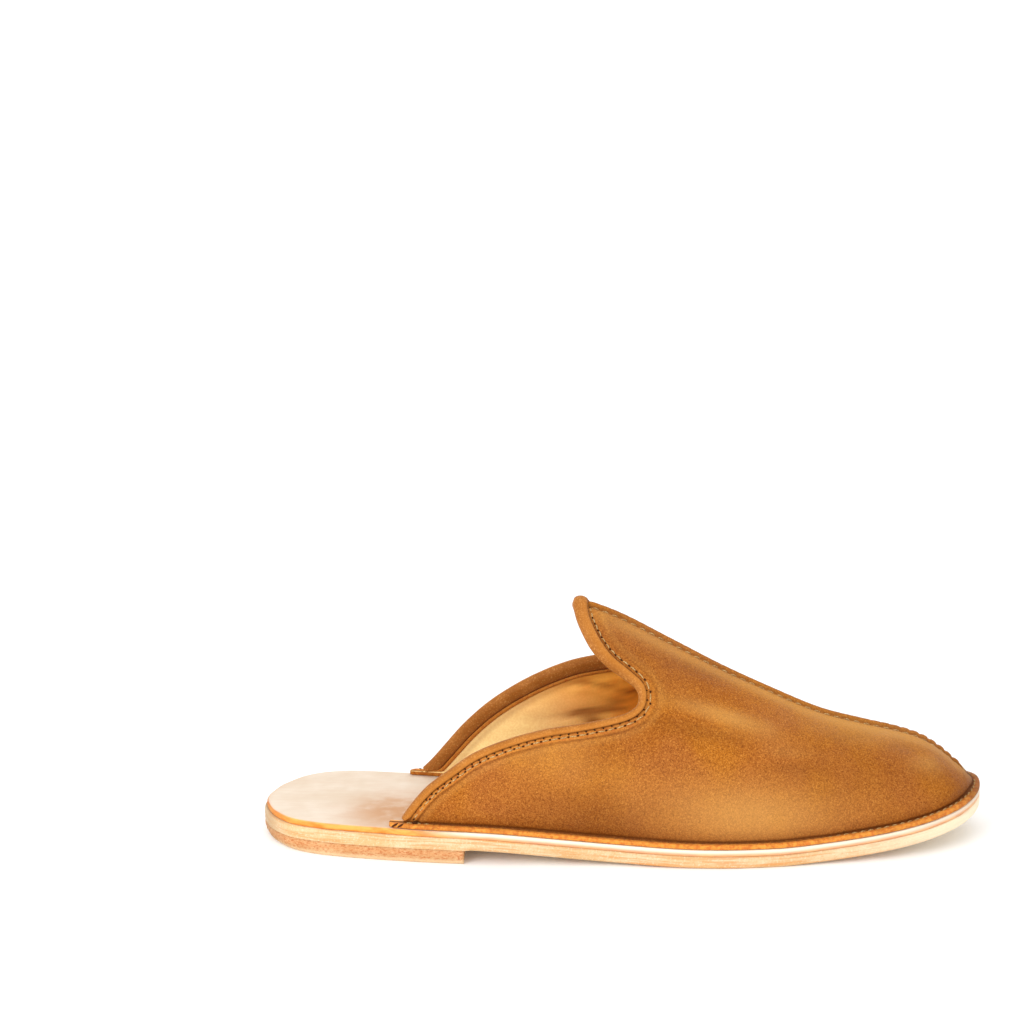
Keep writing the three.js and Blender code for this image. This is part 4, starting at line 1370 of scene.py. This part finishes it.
def upper_material():
    """Tan leather with a fine worm-like grain; where it is pale, orange or dark comes with the mesh,
    pale as painted light and dark mostly as painted shade.
    """
    n = Nodes("tan_leather", 0.55, 0.02)
    clouds = n.span(n.noise(20.0, 3.0, 0.6), 0.38, 0.64)
    drift = n.span(n.noise(34.0, 2.0, 0.5), 0.38, 0.62)
    mottle = n.span(n.noise(1.5, 4.0, 0.7), 0.38, 0.62)
    grain = n.noise(0.52, 2.0, 0.55, None, 1.2)
    specks = n.noise(2.2, 3.0, 0.65)
    tones = n.tones()
    warm = n.mix(mottle, srgb(212, 120, 50), srgb(242, 162, 68))
    colour = n.mix(clouds, srgb(164, 90, 12), srgb(181, 107, 23))
    colour = n.over(colour, srgb(172, 99, 44), drift, 0.6)
    colour = n.mix(n.span(specks, 0.36, 0.60, 0.14, 0.0), colour, srgb(146, 78, 12))
    colour = n.mix(n.span(grain, 0.34, 0.54, 0.80, 0.0), colour, srgb(116, 58, 8))
    colour = n.mix(n.span(grain, 0.50, 0.68, 0.0, 0.50), colour, srgb(218, 148, 66))
    # Painted light from the pale share.
    colour = n.over(colour, srgb(212, 158, 84), tones[1], 0.60)
    colour = n.over(colour, warm, tones[2], 0.85)
    # Painted shade from the dark share.
    colour = n.over(colour, srgb(90, 44, 12), tones[0], 0.85)
    height = n.maths("ADD", grain, n.maths("MULTIPLY", n.cells(0.8), 0.5))
    return n.finish(colour, height, 0.12, n.span(clouds, 0.0, 1.0, 0.50, 0.62))


def binding_material():
    n = Nodes("rolled_leather", 0.5, 0.04)
    clouds = n.span(n.noise(9.0, 3.0, 0.6), 0.35, 0.66)
    grain = n.noise(0.6, 3.0, 0.6)
    colour = n.mix(clouds, srgb(154, 93, 34), srgb(176, 114, 52))
    colour = n.mix(n.span(grain, 0.40, 0.60, 0.50, 0.0), colour, srgb(134, 76, 26))
    colour = n.mix(n.span(grain, 0.55, 0.70, 0.0, 0.45), colour, srgb(224, 164, 96))
    tones = n.tones()
    colour = n.mix(tones[2], colour, srgb(208, 131, 48))
    # Painted shade from the dark share.
    colour = n.over(colour, srgb(90, 40, 12), tones[0], 0.9)
    return n.finish(colour, grain, 0.06)


def lining_material():
    n = Nodes("lining_leather", 0.6, 0.05)
    clouds = n.span(n.noise(18.0, 3.0, 0.55), 0.35, 0.65)
    grain = n.noise(0.8, 3.0, 0.6)
    colour = n.mix(clouds, srgb(240, 150, 46), srgb(250, 178, 72))
    # Painted light: a paler patch low on the inside of the inner wing.
    colour = n.mix(n.near(-50.0, 24.0, 14.0, 66.0), colour, srgb(255, 226, 156))
    colour = n.mix(n.span(grain, 0.40, 0.62, 0.18, 0.0), colour, srgb(214, 136, 50))
    # Painted shade from the dark share.
    colour = n.over(colour, srgb(140, 70, 18), n.tones()[0], 0.75)
    return n.finish(colour, grain, 0.06)


def insole_material():
    n = Nodes("natural_leather", 0.62)
    clouds = n.span(n.noise(24.0, 3.0, 0.6), 0.36, 0.66)
    brush = n.noise(1.2, 3.0, 0.6, n.stretched(0.12, 1.0, 1.0))
    colour = n.mix(clouds, srgb(217, 198, 176), srgb(226, 211, 193))
    colour = n.mix(n.span(brush, 0.45, 0.65, 0.0, 0.20), colour, srgb(214, 184, 158))
    # Painted shade: a mottled darker patch at the front of the heel seat, toward the outer side.
    seat_shade = n.span(n.noise(9.0, 3.0, 0.5), 0.30, 0.62, 0.45, 0.95)
    seat_shade = n.maths("MULTIPLY", n.near(-88.0, -18.0, 7.3, 34.0), seat_shade)
    colour = n.mix(seat_shade, colour, srgb(198, 150, 110))
    tones = n.tones()
    colour = n.mix(tones[1], colour, srgb(255, 243, 220))
    stain = n.noise(5.0, 4.0, 0.65, n.stretched(0.5, 0.5, 2.0))
    edge = n.mix(n.span(stain, 0.35, 0.65), srgb(228, 134, 56), srgb(246, 172, 86))
    colour = n.mix(tones[2], colour, edge)
    colour = n.over(colour, srgb(140, 84, 48), tones[0], 0.7)
    return n.finish(colour, brush, 0.05)


def outsole_material():
    n = Nodes("sole_leather", 0.6)
    tones = n.tones()
    place = n.layered(tones[1], 4.8)
    lines = n.noise(0.62, 3.0, 0.62, place)
    broad = n.noise(2.4, 2.0, 0.5, place)
    clouds = n.span(n.noise(14.0, 4.0, 0.6, n.stretched(1.0, 1.0, 2.5)), 0.38, 0.66)
    colour = n.mix(clouds, srgb(215, 179, 128), srgb(226, 198, 157))
    colour = n.mix(n.span(lines, 0.46, 0.64, 0.0, 0.70), colour, srgb(212, 146, 88))
    colour = n.mix(n.span(broad, 0.55, 0.70, 0.0, 0.50), colour, srgb(226, 158, 90))
    specks = n.noise(0.8, 3.0, 0.65)
    colour = n.mix(n.span(specks, 0.54, 0.70, 0.0, 0.50), colour, srgb(212, 150, 96))
    colour = n.mix(n.span(specks, 0.30, 0.46, 0.45, 0.0), colour, srgb(246, 228, 198))
    # Painted light: the outsole is paler toward the toe, as if lit from the front.
    front = n.near(130.0, 0.0, 12.0, 75.0)
    colour = n.over(colour, srgb(255, 242, 214), front, 0.7)
    colour = n.over(colour, srgb(190, 140, 90), tones[0], 0.5)
    colour = n.over(colour, srgb(156, 136, 114), n.near(-147.0, -8.0, 6.0, 30.0), 0.55)
    height = n.maths("ADD", lines, n.maths("MULTIPLY", specks, 0.5))
    return n.finish(colour, height, 0.12)


def heel_lift_material():
    n = Nodes("heel_leather", 0.75)
    tones = n.tones()
    fibre = n.noise(0.6, 4.0, 0.7, n.stretched(0.5, 0.5, 1.0))
    clouds = n.span(n.noise(12.0, 3.0, 0.6), 0.36, 0.66)
    colour = n.mix(clouds, srgb(198, 152, 104), srgb(211, 172, 126))
    colour = n.over(colour, srgb(222, 150, 94), tones[0], 0.7)
    colour = n.mix(n.span(fibre, 0.48, 0.62, 0.0, 0.80), colour, srgb(186, 106, 60))
    colour = n.mix(n.span(fibre, 0.30, 0.44, 0.6, 0.0), colour, srgb(232, 200, 158))
    colour = n.mix(n.span(tones[1], 0.42, 0.12, 0.0, 0.75), colour, srgb(232, 200, 158))
    colour = n.over(colour, srgb(150, 122, 96), n.near(-147.0, -8.0, 3.0, 28.0), 0.5)
    return n.finish(colour, fibre, 0.30)


def thread_material():
    n = Nodes("waxed_thread", 0.7, 0.1)
    twist = n.noise(0.35, 2.0, 0.6)
    colour = n.mix(n.span(twist, 0.40, 0.62), srgb(158, 116, 64), srgb(210, 176, 120))
    # Painted shade on the flange stitches in the groove, from the dark share; the knots are dark as
    # well.
    colour = n.mix(n.tones()[0], colour, srgb(84, 42, 14))
    return n.finish(colour, twist, 0.06)


def hole_material():
    n = Nodes("stitch_hole", 0.9)
    # Painted shade: the holes are near black in place of the shadow inside them.
    shade_mottle = n.noise(0.5, 2.0, 0.5)
    return n.finish(n.mix(shade_mottle, srgb(46, 22, 8), srgb(78, 42, 16)))


def floor_material():
    n = Nodes("pale_floor", 0.9)
    soft = n.noise(400.0, 2.0, 0.5)
    return n.finish(n.mix(soft, (0.98, 0.98, 0.98), (0.99, 0.99, 0.99)))


# Stage, light and camera

LENS = 66.04
SENSOR = 36.0
CAMERA_PLACE = (-0.0370, -0.7202, 0.2668)
CAMERA_TURN = (79.18, 0.0, 0.58)
LAMPS_AIM = (0.0, 0.0, 0.03)


def make_stage():
    mesh = bpy.data.meshes.new("floor")
    half, wall_at, wall_high, bend = 4.0, 2.4, 3.0, 0.8
    profile = [(-half, 0.0), (wall_at - bend, 0.0)]
    for i in range(1, 9):
        turn = QUARTER * i / 8
        profile.append((wall_at - bend + bend * math.sin(turn), bend * (1 - math.cos(turn))))
    profile.append((wall_at, wall_high))
    points, faces = [], []
    for y, z in profile:
        points += [(-half, y, z), (half, y, z)]
    for i in range(len(profile) - 1):
        faces.append((2 * i, 2 * i + 1, 2 * i + 3, 2 * i + 2))
    mesh.from_pydata(points, [], faces)
    mesh.materials.append(floor_material())
    for polygon in mesh.polygons:
        polygon.use_smooth = True
    floor = bpy.data.objects.new("floor", mesh)
    bpy.context.scene.collection.objects.link(floor)


def add_light(name, place, size, power):
    data = bpy.data.lights.new(name, "AREA")
    data.shape = "RECTANGLE"
    data.size, data.size_y = size
    data.energy = power
    lamp = bpy.data.objects.new(name, data)
    lamp.location = place
    lamp.rotation_euler = (Vector(LAMPS_AIM) - Vector(place)).to_track_quat("-Z", "Y").to_euler()
    bpy.context.scene.collection.objects.link(lamp)


def make_lights():
    world = bpy.data.worlds.new("studio")
    world.use_nodes = True
    background = world.node_tree.nodes["Background"]
    background.inputs["Color"].default_value = (1.0, 1.0, 1.0, 1.0)
    background.inputs["Strength"].default_value = 1.02
    bpy.context.scene.world = world
    add_light("overhead", (0.05, 0.15, 1.1), (1.2, 0.9), 1.5)
    add_light("front_fill", (0.15, -1.6, 0.35), (1.6, 0.5), 3.0)
    add_light("front_left", (-0.9, -1.0, 0.75), (0.9, 0.7), 10.0)


def make_camera():
    data = bpy.data.cameras.new("camera")
    data.lens = LENS
    data.sensor_width = SENSOR
    data.clip_start, data.clip_end = 0.01, 50.0
    camera = bpy.data.objects.new("camera", data)
    camera.location = CAMERA_PLACE
    camera.rotation_euler = Euler([math.radians(v) for v in CAMERA_TURN])
    bpy.context.scene.collection.objects.link(camera)
    bpy.context.scene.camera = camera


make_camera()
tan = upper_material()
thread, hole = thread_material(), hole_material()
make_upper(tan)
make_lining(lining_material())
make_binding(binding_material())
make_inner_strip(tan)
make_collar_stitches(thread, hole)
make_seam_stitches(thread)
make_flange_stitches(thread, hole)
make_layers(outsole_material(), insole_material(), heel_lift_material())
make_stage()
make_lights()
bpy.context.scene.view_settings.view_transform = "Standard"
